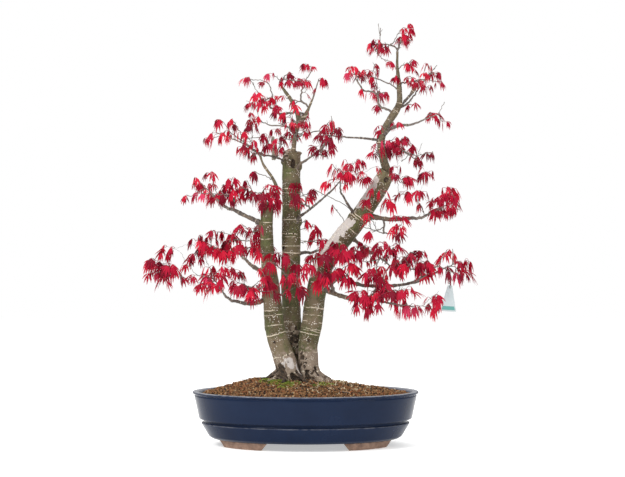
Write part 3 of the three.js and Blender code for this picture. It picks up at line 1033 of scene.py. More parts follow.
@dataclass
class Pot:
    """The oval pot: two bands with a deep groove between them, under a rounded lip."""

    node: str = "pot"
    sides: int = 192
    lip_width: float = 14
    lip_height: float = 6.5
    lip_proud: float = 3  # how far the lip stands out over the upper band
    ledge_height: float = 56
    ledge_inset: float = 15.5  # the upper band's foot, in from the rim
    lower_inset: float = 5  # the lower band's top, in from the upper band's foot
    groove_depth: float = 5.5
    groove_height: float = 7
    base_inset: float = 38
    base_round: float = 8
    inner_lean: float = 0.32
    floor_thickness: float = 13
    corner: float = 1.8
    finish: Finish = GlazedStoneware()

    def __post_init__(self) -> None:
        """Reads the pot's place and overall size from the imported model."""
        self.centre, self.half = centre_of(self.node)
        self.rim = self.half[0] / MM
        self.top = (self.centre[2] + self.half[2]) / MM
        self.bottom = (self.centre[2] - self.half[2]) / MM

    def profile(self) -> list[tuple[float, float, float]]:
        """The turned outline from the underside's middle to the floor inside.

        Returns:
            Radius and height in millimetres, and how thin the glaze is there; the pale rim top and ledge edge are
            partly a painted highlight.
        """
        rim, top, ledge = self.rim, self.top, self.ledge_height
        upper_foot = rim - self.ledge_inset
        lower_top = upper_foot - self.lower_inset
        under_lip = top - self.lip_height
        inside = self.bottom + self.floor_thickness
        inner_rim = rim - self.lip_width
        return [
            (0, self.bottom, 0),
            (rim - self.base_inset - self.base_round, self.bottom, 0),
            (rim - self.base_inset, self.bottom + 5, 0),
            (lower_top - 1.2, ledge - 7, 0),
            # the pale line on the ledge's edge is partly a painted highlight
            (lower_top, ledge - 4.5, 0.35),
            (lower_top - 1.6, ledge - 3, 0.45),
            (lower_top - self.groove_depth, ledge - 2.6, 0),
            (lower_top - self.groove_depth - 1, ledge - 2.6 + self.groove_height, 0),
            (upper_foot - 0.8, ledge + self.groove_height - 2, 0),
            (upper_foot + 0.6, ledge + self.groove_height + 1, 0),
            (rim - self.lip_proud - 1.2, under_lip - 4, 0),
            (rim - self.lip_proud - 2.4, under_lip - 1, 0),
            (rim - self.lip_proud, under_lip + 0.6, 0),
            (rim - 0.6, under_lip + 1.4, 0),
            # the pale rim top is partly a painted highlight
            (rim, top - 2.4, 0.1),
            (rim - 1.4, top - 0.4, 0.9),
            (rim - 4, top, 1.1),
            (rim - self.lip_width + 3, top, 1.2),
            (rim - self.lip_width, top - 2, 1.1),
            (inner_rim - self.inner_lean * 8, top - 8, 0),
            (inner_rim - self.inner_lean * (top - inside - 14), inside + 14, 0),
            (inner_rim - self.inner_lean * (top - inside) - 14, inside, 0),
            (0, inside, 0),
        ]

    def rounded(self) -> Array:
        """Eases each corner of the profile with a short curve.

        Returns:
            The profile's points.
        """
        corners = np.array(self.profile())
        eased = [corners[0]]
        for before, here, after in zip(corners[:-2], corners[1:-1], corners[2:]):
            cuts = []
            for other in (before, after):
                run = other - here
                cuts.append(here + run * min(0.42, self.corner / max(np.hypot(run[0], run[1]), 1e-6)))
            eased.extend(arc(cuts[0], here, cuts[1], share) for share in np.linspace(0, 1, 5))
        eased.append(corners[-1])
        return np.array(eased)

    def build(self) -> None:
        """Turns the profile and squeezes it into an oval."""
        profile = self.rounded()
        oval = circle(np.linspace(0, 2 * math.pi, self.sides, endpoint=False))
        oval *= [1, self.half[1] / self.half[0]]
        middle = self.centre * [1, 1, 0]
        rings = [
            np.column_stack([oval * radius, np.full(self.sides, height)]) * MM + middle
            for radius, height, _ in profile[1:-1]
        ]
        ends = [middle + UP * profile[k][1] * MM for k in (0, -1)]
        soup = Soup()
        soup.add(np.concatenate([*rings, ends]), closed_rings(len(rings), self.sides))
        piece = soup.piece("glazed_pot", self.finish)
        mark(piece, Attribute.THIN, np.concatenate([np.repeat(profile[1:-1, 2], self.sides), [0, 0]]))
        settle(piece, "glaze", [self.node])


@dataclass
class PotFoot:
    """One unglazed foot, cut from a slab and softened by hand."""

    node: str
    voxel: float = 1.3
    softening: int = 6
    unevenness: float = 0.35
    dent: float = 9  # how wide each uneven place is
    seed: int = 5

    def build(self) -> None:
        """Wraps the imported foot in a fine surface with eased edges."""
        block = Solid.of(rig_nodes()[self.node])
        shapes = Soup()
        shapes.add(block.points, [block.triangles])
        skin = Skin.around(shapes, self.voxel)
        skin.smooth(self.softening)
        skin.raise_by(Noise(self.seed).layered(skin.points, self.dent * MM) * self.unevenness * MM)
        skin.points[:, 2] = np.maximum(skin.points[:, 2], 0)
        settle(skin.piece(f"clay_{self.node}", BARE_CLAY), "clay", [self.node])


# ---- Soil, moss and litter --------------------------------------------------------------------------------


@dataclass
class Soil:
    """Sieved clay granules heaped round the clump, with moss at its foot and dry bits of leaf."""

    node: str = "soil"
    grain_count: int = 13000
    grain_smallest: float = 1.3  # a grain's radius
    grain_largest: float = 3.1
    relief: float = 1.6
    rings: int = 60
    spokes: int = 180
    skirt: float = 12
    settled: float = 2.6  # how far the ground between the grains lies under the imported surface
    moss_height: float = 7
    moss_spacing: float = 1.15
    # Patches of moss: place to the right of the clump's middle, place behind it, and radius.
    moss_patches: tuple[tuple[float, float, float], ...] = (
        (-74, -60, 24),
        (-48, -82, 20),
        (-96, -44, 19),
        (-26, -72, 11),
        (-62, -100, 10),
        (34, -66, 15),
        (52, -56, 11),
        (14, -80, 8),
        (36, 58, 24),
        (-44, 70, 22),
        (70, 16, 14),
    )
    litter_count: int = 210
    twiglet_count: int = 60
    seed: int = 21

    def __post_init__(self) -> None:
        """Reads the soil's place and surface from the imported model."""
        self.centre, self.half = centre_of(self.node)
        solid = Solid.of(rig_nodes()[self.node])
        self.tree = BVHTree.FromPolygons(solid.points.tolist(), solid.triangles.tolist())
        self.noise = Noise(self.seed)
        self.random = np.random.default_rng(self.seed)
        self.clump = clump_middle()

    def surface(self, places: Array) -> Array:
        """Height of the ground at places.

        Args:
            places: Their x and y, one pair a row.

        Returns:
            Their x, y and z.
        """
        heights = []
        for x, y in places:
            hit = self.tree.ray_cast(Vector((x, y, 1.0)), Vector((0, 0, -1)))[0]
            heights.append(self.centre[2] if hit is None else hit.z)
        ground = np.column_stack([places, heights])
        lumps = self.noise.layered(places, 17 * MM) + 0.5 * self.noise.at(places + 3, 6 * MM)
        ground[:, 2] += (lumps * self.relief - self.settled) * MM
        return ground

    def scatter(self, count: int) -> Array:
        """Even random places over the whole oval."""
        radius = np.sqrt(self.random.uniform(0, 1, count)) * 0.995
        angle = self.random.uniform(0, 2 * math.pi, count)
        return self.centre[:2] + circle(angle) * self.half[:2] * radius[:, None]

    def bed(self) -> None:
        """Builds the lumpy ground that shows between the grains."""
        angle = np.linspace(0, 2 * math.pi, self.spokes, endpoint=False)
        shares = np.linspace(0, 0.998, self.rings + 1)[1:]
        rim = circle(angle) * self.half[:2]
        flat = np.concatenate([self.centre[:2] + rim * share for share in shares] + [self.centre[None, :2]])
        ground = self.surface(flat)
        edge = ground[-1 - self.spokes : -1].copy()
        edge[:, 2] -= self.skirt * MM
        under = [[*self.centre[:2], edge[:, 2].min()]]
        points = np.concatenate([ground[:-1], edge, ground[-1:], under])
        place = np.arange((self.rings + 1) * self.spokes).reshape(-1, self.spokes)
        here, there = place[:-1], place[1:]
        quads = np.stack([here, there, np.roll(there, -1, 1), np.roll(here, -1, 1)], -1).reshape(-1, 4)
        top, low = len(points) - 2, len(points) - 1
        crown = [[top, a, b] for a, b in zip(place[0], np.roll(place[0], -1))]
        floor = [[low, b, a] for a, b in zip(place[-1], np.roll(place[-1], -1))]
        piece = make_piece("soil_bed", points, [*quads.tolist(), *crown, *floor], SOIL_BED)
        settle(piece, "soil", [self.node])

    def grains(self) -> None:
        """Builds the granules, one piece for each tint."""
        corners, faces = icosahedron()
        place = self.surface(self.scatter(self.grain_count))
        size = self.random.uniform(self.grain_smallest, self.grain_largest, self.grain_count) * MM
        place[:, 2] += size * self.random.uniform(-0.2, 0.9, self.grain_count)
        tint = self.random.choice(len(GRAINS), self.grain_count, p=GRAIN_SHARES)
        shape = self.random.uniform(0.7, 1.2, (self.grain_count, len(corners), 1)) * turned(
            corners, self.random, self.grain_count
        )
        shape *= self.random.uniform(0.7, 1.15, (self.grain_count, 1, 3)) * size[:, None, None]
        for number, finish in enumerate(GRAINS):
            chosen = tint == number
            points = (shape[chosen] + place[chosen, None]).reshape(-1, 3)
            soup = Soup()
            soup.add(points, [copies(faces, len(corners), chosen.sum())])
            settle(soup.piece(f"soil_{finish.name}", finish, smooth=False), "soil")

    def moss(self) -> None:
        """Builds cushions of moss from short splayed blades."""
        soups = [Soup(), Soup()]
        for right, behind, radius in self.moss_patches:
            count = int(math.pi * radius**2 / self.moss_spacing**2)
            reach = np.sqrt(self.random.uniform(0, 1, count))
            angle = self.random.uniform(0, 2 * math.pi, count)
            ragged = 1 + 0.3 * self.noise.at(circle(angle) + right, 0.7)
            flat = np.column_stack(
                [
                    right + np.cos(angle) * reach * radius * ragged,
                    behind + np.sin(angle) * reach * radius * ragged,
                ]
            )
            root = self.surface(self.clump[:2] + flat * MM)
            cushion = self.moss_height * MM * (1 - reach**2) * (0.6 + 0.4 * self.noise.at(root, 8 * MM))
            root[:, 2] += cushion * 0.8
            outward = np.column_stack([circle(angle), angle * 0])
            lean = self.random.normal(0, 0.45, (count, 3)) + UP + outward * 0.5 * reach[:, None]
            tip = root + unit(lean) * self.random.uniform(1.5, 3.6, count)[:, None] * MM
            foot = self.random.uniform(0.3, 0.55, count)[:, None, None] * MM
            spread = turned(np.array([[1, 0, 0], [-0.5, 0.87, 0], [-0.5, -0.87, 0]]), self.random, count)
            spread[:, :, 2] *= 0.2
            blades = np.concatenate([root[:, None] + spread * foot, tip[:, None]], axis=1)
            shade = self.noise.at(root + 9, 13 * MM) + self.random.normal(0, 0.35, count) > 0.1
            for soup, chosen in zip(soups, (~shade, shade)):
                faces = np.array([[0, 1, 3], [1, 2, 3], [2, 0, 3], [0, 2, 1]])
                soup.add(blades[chosen].reshape(-1, 3), [copies(faces, 4, chosen.sum())])
        for soup, finish in zip(soups, MOSS):
            settle(soup.piece(finish.name, finish), "soil")

    def near_clump(self, count: int, spread: tuple[float, float], shift: tuple[float, float]) -> Array:
        """Random places on the soil, thickest near the clump.

        Args:
            count: How many are drawn, before those beyond the soil's edge are left out.
            spread: How far they scatter along and across the pot, in millimetres.
            shift: Where they are thickest, from the clump's middle, in millimetres.

        Returns:
            The places.
        """
        places = self.clump[:2] + (self.random.normal(0, 1, (count, 2)) * spread + shift) * MM
        inside = np.linalg.norm((places - self.centre[:2]) / self.half[:2], axis=1) < 0.92
        return places[inside]

    def litter(self) -> None:
        """Builds curled flakes of dry leaf and short bits of twig."""
        flakes, sticks = Soup(), Soup()
        for place in self.near_clump(self.litter_count, (70, 56), (26, -26)):
            root = self.surface(place[None])[0] + UP * 2.2 * MM
            length, width = self.random.uniform(5, 13) * MM, self.random.uniform(1.5, 3.8) * MM
            turn, curl = self.random.uniform(0, 2 * math.pi), self.random.uniform(0.2, 1.3)
            along = heading(turn, self.random.uniform(-0.2, 0.5))
            across = np.array([-math.sin(turn), math.cos(turn), self.random.uniform(-0.5, 0.5)])
            share = np.linspace(-1, 1, 6)
            rise = UP * (share[:, None] ** 2) * length * curl * 0.4
            line = root + along * share[:, None] * length / 2 + rise
            edge = across * (1 - share[:, None] ** 2 + 0.1) * width / 2
            thickness = UP * 0.25 * MM
            underside = np.concatenate([line - edge, line + edge])
            points = np.concatenate([underside, underside + thickness])
            flakes.add(points, [closed_strip(6)])
        for place in self.near_clump(self.twiglet_count, (90, 62), (0, 0)):
            root = self.surface(place[None])[0] + UP * 2.5 * MM
            turn = self.random.uniform(0, 2 * math.pi)
            along = heading(turn, self.random.uniform(-0.15, 0.35))
            length = self.random.uniform(8, 22) * MM
            line = root + along * np.linspace(-0.5, 0.5, 5)[:, None] * length
            line += self.random.normal(0, 0.7, (5, 3)) * MM
            sticks.add(*Limb(line, np.full(5, self.random.uniform(0.4, 0.9) * MM)).tube(5))
        settle(flakes.piece("dry_leaf_flakes", LITTER), "soil")
        settle(sticks.piece("fallen_twiglets", TWIG_BARK), "soil")

    def build(self) -> None:
        """Builds the ground and what lies on it."""
        self.bed()
        self.grains()
        self.moss()
        self.litter()


def closed_strip(count: int) -> Array:
    """Faces of a thin strip with two edges below and two above, each with this many points."""
    low, high = np.arange(count), np.arange(count) + count
    above_low, above_high = low + 2 * count, high + 2 * count
    walls = [(high, low), (above_low, above_high), (low, above_low), (above_high, high)]
    quads = [np.stack([a[:-1], b[:-1], b[1:], a[1:]], -1) for a, b in walls]
    ends = [
        [low[0], high[0], above_high[0], above_low[0]],
        [low[-1], above_low[-1], above_high[-1], high[-1]],
    ]
    return np.concatenate([*quads, ends])


def icosahedron() -> tuple[Array, Array]:
    """Corners and faces of a unit icosahedron."""
    golden = (1 + math.sqrt(5)) / 2
    corners = [(0, a, b * golden) for a in (-1, 1) for b in (-1, 1)]
    corners = np.array([np.roll(corner, k) for k in range(3) for corner in corners])
    faces = [
        trio
        for trio in itertools.combinations(range(12), 3)
        if all(np.linalg.norm(corners[a] - corners[b]) < 2.1 for a, b in itertools.combinations(trio, 2))
    ]
    outward = []
    for a, b, c in faces:
        facing = np.dot(np.cross(corners[b] - corners[a], corners[c] - corners[a]), corners[a])
        outward.append((a, b, c) if facing > 0 else (a, c, b))
    return unit(corners), np.array(outward)


def turned(points: Array, random: np.random.Generator, count: int) -> Array:
    """Many copies of some points, each turned at random.

    Args:
        points: The points of one copy.
        random: The source of the turns.
        count: How many copies there are.

    Returns:
        The copies, in an array of copies by points by axes.
    """
    first = unit(random.normal(0, 1, (count, 3)))
    second = unit(np.cross(first, random.normal(0, 1, (count, 3))))
    frame = np.stack([first, second, np.cross(first, second)], axis=1)
    return np.einsum("pk,nkj->npj", points, frame)


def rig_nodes() -> dict[str, bpy.types.Object]:
    """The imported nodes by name."""
    return {thing.name: thing for thing in bpy.data.objects if "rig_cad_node" in thing}


def clump_middle() -> Array:
    """The middle of the ground that the three trunks stand on."""
    feet = []
    for node in ("trunk_left", "trunk_centre", "trunk_right"):
        points = Solid.of(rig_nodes()[node]).points
        feet.append(points[points[:, 2] < points[:, 2].min() + 2 * MM].mean(axis=0))
    return np.mean(feet, axis=0)


# ---- Trunks and leaders -----------------------------------------------------------------------------------


class MarkKind(Enum):
    """What a mark on the bark is."""

    KNOT = "knot"  # a ring of callus round a hollow, where a bough was cut off; the hollow is partly dark cut wood, partly painted shade
    BURL = "burl"  # rough swelling, darkened in its dips with painted shade
    HOLLOW = "hollow"  # a pit, darkened near-black with painted shade
    BARE = "bare"  # bleached bark
    RING = "ring"  # a raised ring round the whole limb
    COLLAR = "collar"  # a smooth swelling where a bough leaves


@dataclass(frozen=True)
class BarkMark:
    """A mark on a limb's bark, in millimetres and degrees. Azimuth 0 is to the right and -90 to the front."""

    kind: MarkKind
    height: float
    azimuth: float = 0
    size: float = 10
    reach: float = 0  # how far it runs up and down the limb beyond its round ends


@dataclass(frozen=True)
class SurfaceRoot:
    """A root that shows above the soil, in millimetres and degrees."""

    azimuth: float
    reach: float
    radius: float
    rise: float = 22


@dataclass
class BarkedLimb:
    """A trunk or leader: a packed limb wrapped in a fine surface with bark relief."""

    node: str
    slot: str
    finish: Finish
    marks: tuple[BarkMark, ...] = ()
    roots: tuple[SurfaceRoot, ...] = ()
    clear_of_roots: float = 0  # height above its foot from which it is one round limb
    worn_below: float = 0  # height under which old bark is smooth
    sunk: float = 8
    voxel: float = 1.5
    lump: float = 0.9
    fluting: float = 5
    fluted_below: float = 80
    slimness: float = 1.03
    grain: float = 0.28
    seed: int = 1

    def __post_init__(self) -> None:
        """Finds the limb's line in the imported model."""
        self.solid = Solid.of(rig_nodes()[self.node])
        self.foot = self.solid.points[:, 2].min()
        spacing = 12 * MM if self.clear_of_roots else 8 * MM
        self.limbs = [self.clear(limb) for limb in self.solid.limbs(UP, spacing)][: 1 if self.roots else None]
        self.limb = self.limbs[0]

    def clear(self, limb: Limb) -> Limb:
        """Leaves out the cuts that go through roots, and runs the limb straight down to the soil instead."""
        kept = limb.points[:, 2] >= self.foot + self.clear_of_roots * MM
        points, radii = limb.points[kept], limb.radii[kept]
        if self.clear_of_roots:
            slope = (points[0] - points[2]) / (points[2, 2] - points[0, 2])
            drop = points[0, 2] - self.foot + self.sunk * MM
            points = np.concatenate([[points[0] + slope * drop], points])
            radii = np.concatenate([[radii[0] * 1.25], radii])
        elif points[0, 2] < self.foot + 2 * self.sunk * MM:
            radii[-1] = radii[-2]
            low = self.solid.points[self.solid.points[:, 2] < self.foot + 1 * MM].mean(axis=0)
            points = np.concatenate([[low - UP * self.sunk * MM], points])
            radii = np.concatenate([[radii[0] * 1.25], radii])
        return Limb(points, radii).resampled(6 * MM, soften=4)

    def blank(self) -> Soup:
        """The rough shape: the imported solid, smooth tubes, roots and collars, all overlapping."""
        soup = Soup()
        points = self.solid.points.copy()
        points[points[:, 2] < self.foot + 1.5 * MM, 2] -= self.sunk * MM
        if self.slimness > 1:
            soup.add(points, [self.solid.triangles])
        for limb in self.limbs:
            soup.add(*Limb(limb.points, limb.radii * self.slimness).tube(32))
        for root in self.roots:
            soup.add(*self.root_limb(root).tube(12))
        return soup

    def root_limb(self, root: SurfaceRoot) -> Limb:
        """The line of a surface root from inside the trunk's foot into the soil."""
        turn = math.radians(root.azimuth)
        outward = heading(turn)
        share = np.linspace(0, 1, 12)
        base = self.limb.points[0] * [1, 1, 0] + UP * self.foot
        line = base + outward * share[:, None] * root.reach * MM
        line[:, 2] += ((1 - share) ** 1.6 * root.rise - share**2 * (self.sunk + 2)) * MM
        line += np.cross(outward, UP) * np.sin(share[:, None] * 5 + root.azimuth) * 2 * MM
        return Limb(line, root.radius * (1 - 0.55 * share) * MM)

    def build(self) -> None:
        """Wraps, smooths and carves the limb."""
        skin = Skin.around(self.blank(), self.voxel)
        skin.smooth(14)
        noise = Noise(self.seed)
        along, around, radius, tangent = self.locate(skin.points)
        low = np.clip(1 - (skin.points[:, 2] - self.foot) / (self.fluted_below * MM), 0, 1)
        lump_size, coarse_size, fine_size, flute_size = 26 * MM, 4.5 * MM, 2.4 * MM, 7 * MM
        height = noise.layered(skin.points, lump_size) * self.lump
        coarse = noise.at(skin.points, coarse_size) * self.grain
        height += coarse + noise.at(skin.points + 1, fine_size) * self.grain * 0.5
        stretched = np.column_stack([around * 9 * MM, skin.points[:, 2:] * 0.16])
        flute = noise.layered(stretched, flute_size, 2)
        height += np.where(flute < 0, flute * 1.6, flute) * self.fluting * low
        kinds = (Attribute.SCARRED, Attribute.BLEACHED, Attribute.RINGED, Attribute.WORN)
        values = {kind: np.zeros(len(skin.points)) for kind in kinds}
        if self.roots:
            # Painted shade: the deepest grooves between the root flutes near the foot are darkened.
            values[Attribute.SCARRED] += np.clip(-flute * 3.0 - 0.7, 0, 1) * np.minimum(low * 2.2, 1)
        for bark_mark in self.marks:
            height += self.carve(bark_mark, skin, (along, around, radius, tangent), noise, values)
        skin.raise_by(height * MM)
        skin.smooth(1)
        piece = skin.piece(f"bark_{self.node}", self.finish)
        mark(piece, Attribute.ALONG, along)
        worn_fade = 80 * MM
        worn = np.clip(0.5 + (self.foot + self.worn_below * MM - skin.points[:, 2]) / worn_fade, 0, 1)
        values[Attribute.WORN] += worn if self.worn_below else 0
        for kind, value in values.items():
            mark(piece, kind, np.clip(value, 0, 1))
        settle(piece, self.slot, [self.node])

    def locate(self, places: Array) -> tuple[Array, Array, Array, Array]:
        """Where places lie on the limb.

        Args:
            places: The places.

        Returns:
            For each, its distance along the limb, its outward unit vector, and the limb's radius and direction.
        """
        fine = self.limb.resampled(4 * MM)
        lengths, directions = fine.lengths(), fine.directions()
        nearest = np.argmin(((places[:, None] - fine.points[None]) ** 2).sum(axis=2), axis=1)
        tangent = directions[nearest]
        offset = places - fine.points[nearest]
        ahead = (offset * tangent).sum(axis=1)
        outward = unit(offset - tangent * ahead[:, None])
        return lengths[nearest] + ahead, outward, fine.radii[nearest], tangent

    def carve(
        self,
        bark_mark: BarkMark,
        skin: Skin,
        located: tuple[Array, Array, Array, Array],
        noise: Noise,
        values: dict[Attribute, Array],
    ) -> Array:
        """Works one mark into the relief and the marked values.

        Args:
            bark_mark: The mark.
            skin: The surface.
            located: What locate says of the surface.
            noise: Unevenness for the mark's edge.
            values: The marked values, which are raised where the mark lies.

        Returns:
            The mark's height in millimetres at each vertex.
        """
        along, outward, radius, tangent = located
        fine = self.limb.resampled(4 * MM)
        centre = fine.lengths()[np.argmin(np.abs(fine.points[:, 2] - bark_mark.height * MM))]
        turn = math.radians(bark_mark.azimuth)
        facing = heading(turn)
        facing = unit(facing - tangent * (tangent @ facing)[:, None])
        ahead = np.maximum(np.abs(along - centre) / MM - bark_mark.reach, 0)
        aside = np.arccos(np.clip((outward * facing).sum(axis=1), -1, 1)) * radius / MM
        distance = np.hypot(ahead, aside) * (1 + 0.16 * noise.at(skin.points, 6 * MM))
        size = bark_mark.size
        inside = falloff(distance, size)
        match bark_mark.kind:
            case MarkKind.KNOT:
                # Painted shade, partly dark cut wood: the knot's sunken middle is darkened.
                values[Attribute.SCARRED] += falloff(distance, size * 0.85) * 1.5
                callus = np.exp(-(((distance - size) / (0.3 * size + 0.6)) ** 2))
                values[Attribute.RINGED] += callus * (0.3 + 0.28 * noise.at(skin.points + 4, 5 * MM))
                return callus * (0.8 + 0.07 * size) - 0.4 * size * falloff(distance, size * 0.8)
            case MarkKind.BURL:
                rough = noise.layered(skin.points + 5, 5 * MM)
                # Painted shade: the burl is darkened where its relief dips, and its rises take the worn colour.
                values[Attribute.SCARRED] += inside * (0.42 - 1.7 * rough)
                values[Attribute.WORN] += inside * np.clip(0.4 + 1.5 * rough, 0, 1)
                return inside * (0.16 * size + 3.0 * rough)
            case MarkKind.HOLLOW:
                # Painted shade: the pit is darkened to near-black.
                values[Attribute.SCARRED] += inside * (1.6 + 1.2 * noise.at(skin.points + 3, 4 * MM))
                return -1.0 * size * inside
            case MarkKind.BARE:
                ragged = falloff(distance * (1 + 0.3 * noise.at(skin.points + 9, 8 * MM)), size)
                values[Attribute.BLEACHED] += ragged * (0.95 + 0.5 * noise.at(skin.points + 7, 8 * MM))
                return 0.3 * inside
            case MarkKind.COLLAR:
                return 0.3 * size * inside
            case _:
                waver = (along - centre) / MM + 1.3 * noise.at(skin.points, 15 * MM)
                band = np.exp(-((waver / 1.1) ** 2))
                values[Attribute.RINGED] += band * (0.8 + 0.4 * noise.at(skin.points + 2, 9 * MM))
                return 0.6 * band


# ---- Boughs -----------------------------------------------------------------------------------------------


@dataclass
class Bough:
    """One tapering bough, from inside its parent to where the foliage begins."""

    name: str
    mass: str = ""  # the mass of foliage that it enters, if that has another name
    buried: float = 13  # how far it starts inside its parent
    flare: float = 0.55  # how much thicker its collar is
    flare_length: float = 9
    knuckle_spacing: float = 15
    knuckle: float = 0.24
    slimness: float = 0.88  # a packed bough is a little stout
    sides: int = 14
    seed: int = 1

    def __post_init__(self) -> None:
        """Finds the bough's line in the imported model, thick end first."""
        solid = Solid.of(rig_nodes()[f"bough_{self.name}"])
        axis = np.linalg.svd(solid.points - solid.points.mean(axis=0), full_matrices=False)[2][0]
        limb = max(solid.limbs(axis, 7 * MM), key=lambda found: len(found.points))
        if limb.radii[1:3].mean() < limb.radii[-3:-1].mean():
            limb = Limb(limb.points[::-1], limb.radii[::-1])
        limb.radii[0], limb.radii[-1] = limb.radii[1], limb.radii[-2]
        start = limb.points[0] - unit(limb.points[1] - limb.points[0]) * self.buried * MM
        limb = Limb(np.concatenate([[start], limb.points]), np.concatenate([limb.radii[:1], limb.radii]))
        self.limb = limb.resampled(2.5 * MM, soften=6)
        self.mass = self.mass or self.name

    def build(self) -> None:
        """Sweeps the bough with its collar, knuckles and lumps."""
        lengths = self.limb.lengths()
        random = np.random.default_rng(self.seed)
        noise = Noise(self.seed)
        swell = 1 + self.flare * np.exp(-np.maximum(lengths / MM - self.buried + 4, 0) / self.flare_length)
        place = self.buried + 12.0
        while place < lengths[-1] / MM:
            swell += self.knuckle * random.uniform(0.4, 1.3) * np.exp(-(((lengths / MM - place) / 2.2) ** 2))
            place += self.knuckle_spacing * random.uniform(0.5, 1.6)
        line = Limb(self.limb.points, self.limb.radii * self.slimness * swell)
        points, faces = line.tube(self.sides)
        uneven = noise.layered(points, 9 * MM) * 0.2 + noise.at(points, 3 * MM) * 0.07
        middles = np.concatenate([np.repeat(line.points, self.sides, axis=0), line.points[[0, -1]]])
        points = middles + (points - middles) * (1 + uneven)[:, None]
        soup = Soup()
        soup.add(points, faces)
        piece = soup.piece(f"bark_bough_{self.name}", YOUNG_BARK)
        mark(piece, Attribute.ALONG, along_of(line, self.sides))
        settle(piece, "young_bark", [f"bough_{self.name}"])


# ---- Crown ------------------------------------------------------------------------------------------------


class Region(Enum):
    """A part of the crown. Its value is how the names of its masses begin."""

    LEFT = ("left",)
    CENTRE = ("centre", "crown")
    RIGHT = ("right", "far")
    TOP = ("top", "leader")

    def holds(self, mass: str) -> bool:
        """Whether a mass of foliage is in this part of the crown."""
        return mass.startswith(self.value)


@dataclass(frozen=True)
class Shoot:
    """A twig that grows from a limb by itself. Heights and lengths are in millimetres, angles in degrees."""

    limb: str
    height: float
    azimuth: float
    rise: float
    length: float
    sprays: int = 1
    bend: float = 0.15  # how much it lifts along its way


@dataclass(frozen=True)
class Reach:
    """Where a leader's end runs on to, in millimetres."""

    limb: str
    to: tuple[float, float, float]
    region: Region


@dataclass(frozen=True)
class Pad:
    """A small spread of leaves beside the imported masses: its middle and half sizes in millimetres."""

    name: str
    at: tuple[float, float, float]
    half: tuple[float, float, float]


@dataclass
class Skeleton:
    """Every point that a twig can grow from, in the order in which the points grew."""

    places: list[Array] = field(default_factory=list)
    directions: list[Array] = field(default_factory=list)
    parents: list[int] = field(default_factory=list)
    limits: list[float] = field(default_factory=list)  # the radius of the limb at the point
    reluctance: list[float] = field(default_factory=list)  # metres that a new twig would rather go further
    owners: list[str] = field(default_factory=list)

    def extend(self, limb: Limb, parent: int, owner: str, reluctance: float, step: float = 0.0) -> list[int]:
        """Adds the points of a limb or twig.

        Args:
            limb: The line.
            parent: The point that it grows from, or -1.
            owner: The limb's name.
            reluctance: How reluctant its first point is to bear a twig.
            step: How much more reluctant each further point is.

        Returns:
            The new points' numbers.
        """
        made = []
        for number, (place, direction, radius) in enumerate(zip(limb.points, limb.directions(), limb.radii)):
            made.append(len(self.places))
            self.places.append(place)
            self.directions.append(direction)
            self.parents.append(parent)
            self.limits.append(radius)
            self.reluctance.append(reluctance + step * number)
            self.owners.append(owner)
            parent = made[-1]
        return made

    def cheapest(self, target: Array) -> int:
        """The point from which a twig to a target is shortest and least bent."""
        run = target - np.array(self.places)
        distance = np.linalg.norm(run, axis=1)
        forward = (unit(run) * np.array(self.directions)).sum(axis=1)
        climb = np.maximum(-run[:, 2], 0)  # a twig would rather not grow down
        cost = distance * (1.35 - 0.35 * forward) + 0.6 * climb + np.array(self.reluctance)
        return int(np.argmin(cost + np.where(distance < 9 * MM, 0.05, 0)))

    def at_height(self, owner: str, height_mm: float) -> int:
        """The point of a limb that is nearest to a height."""
        near = [
            abs(place[2] - height_mm * MM) if name == owner else math.inf
            for place, name in zip(self.places, self.owners)
        ]
        return int(np.argmin(near))


@dataclass
class Twig:
    """A twig's points in the skeleton, after the one that it grows from."""

    parent: int
    points: list[int]
    region: Region
    main: bool = False


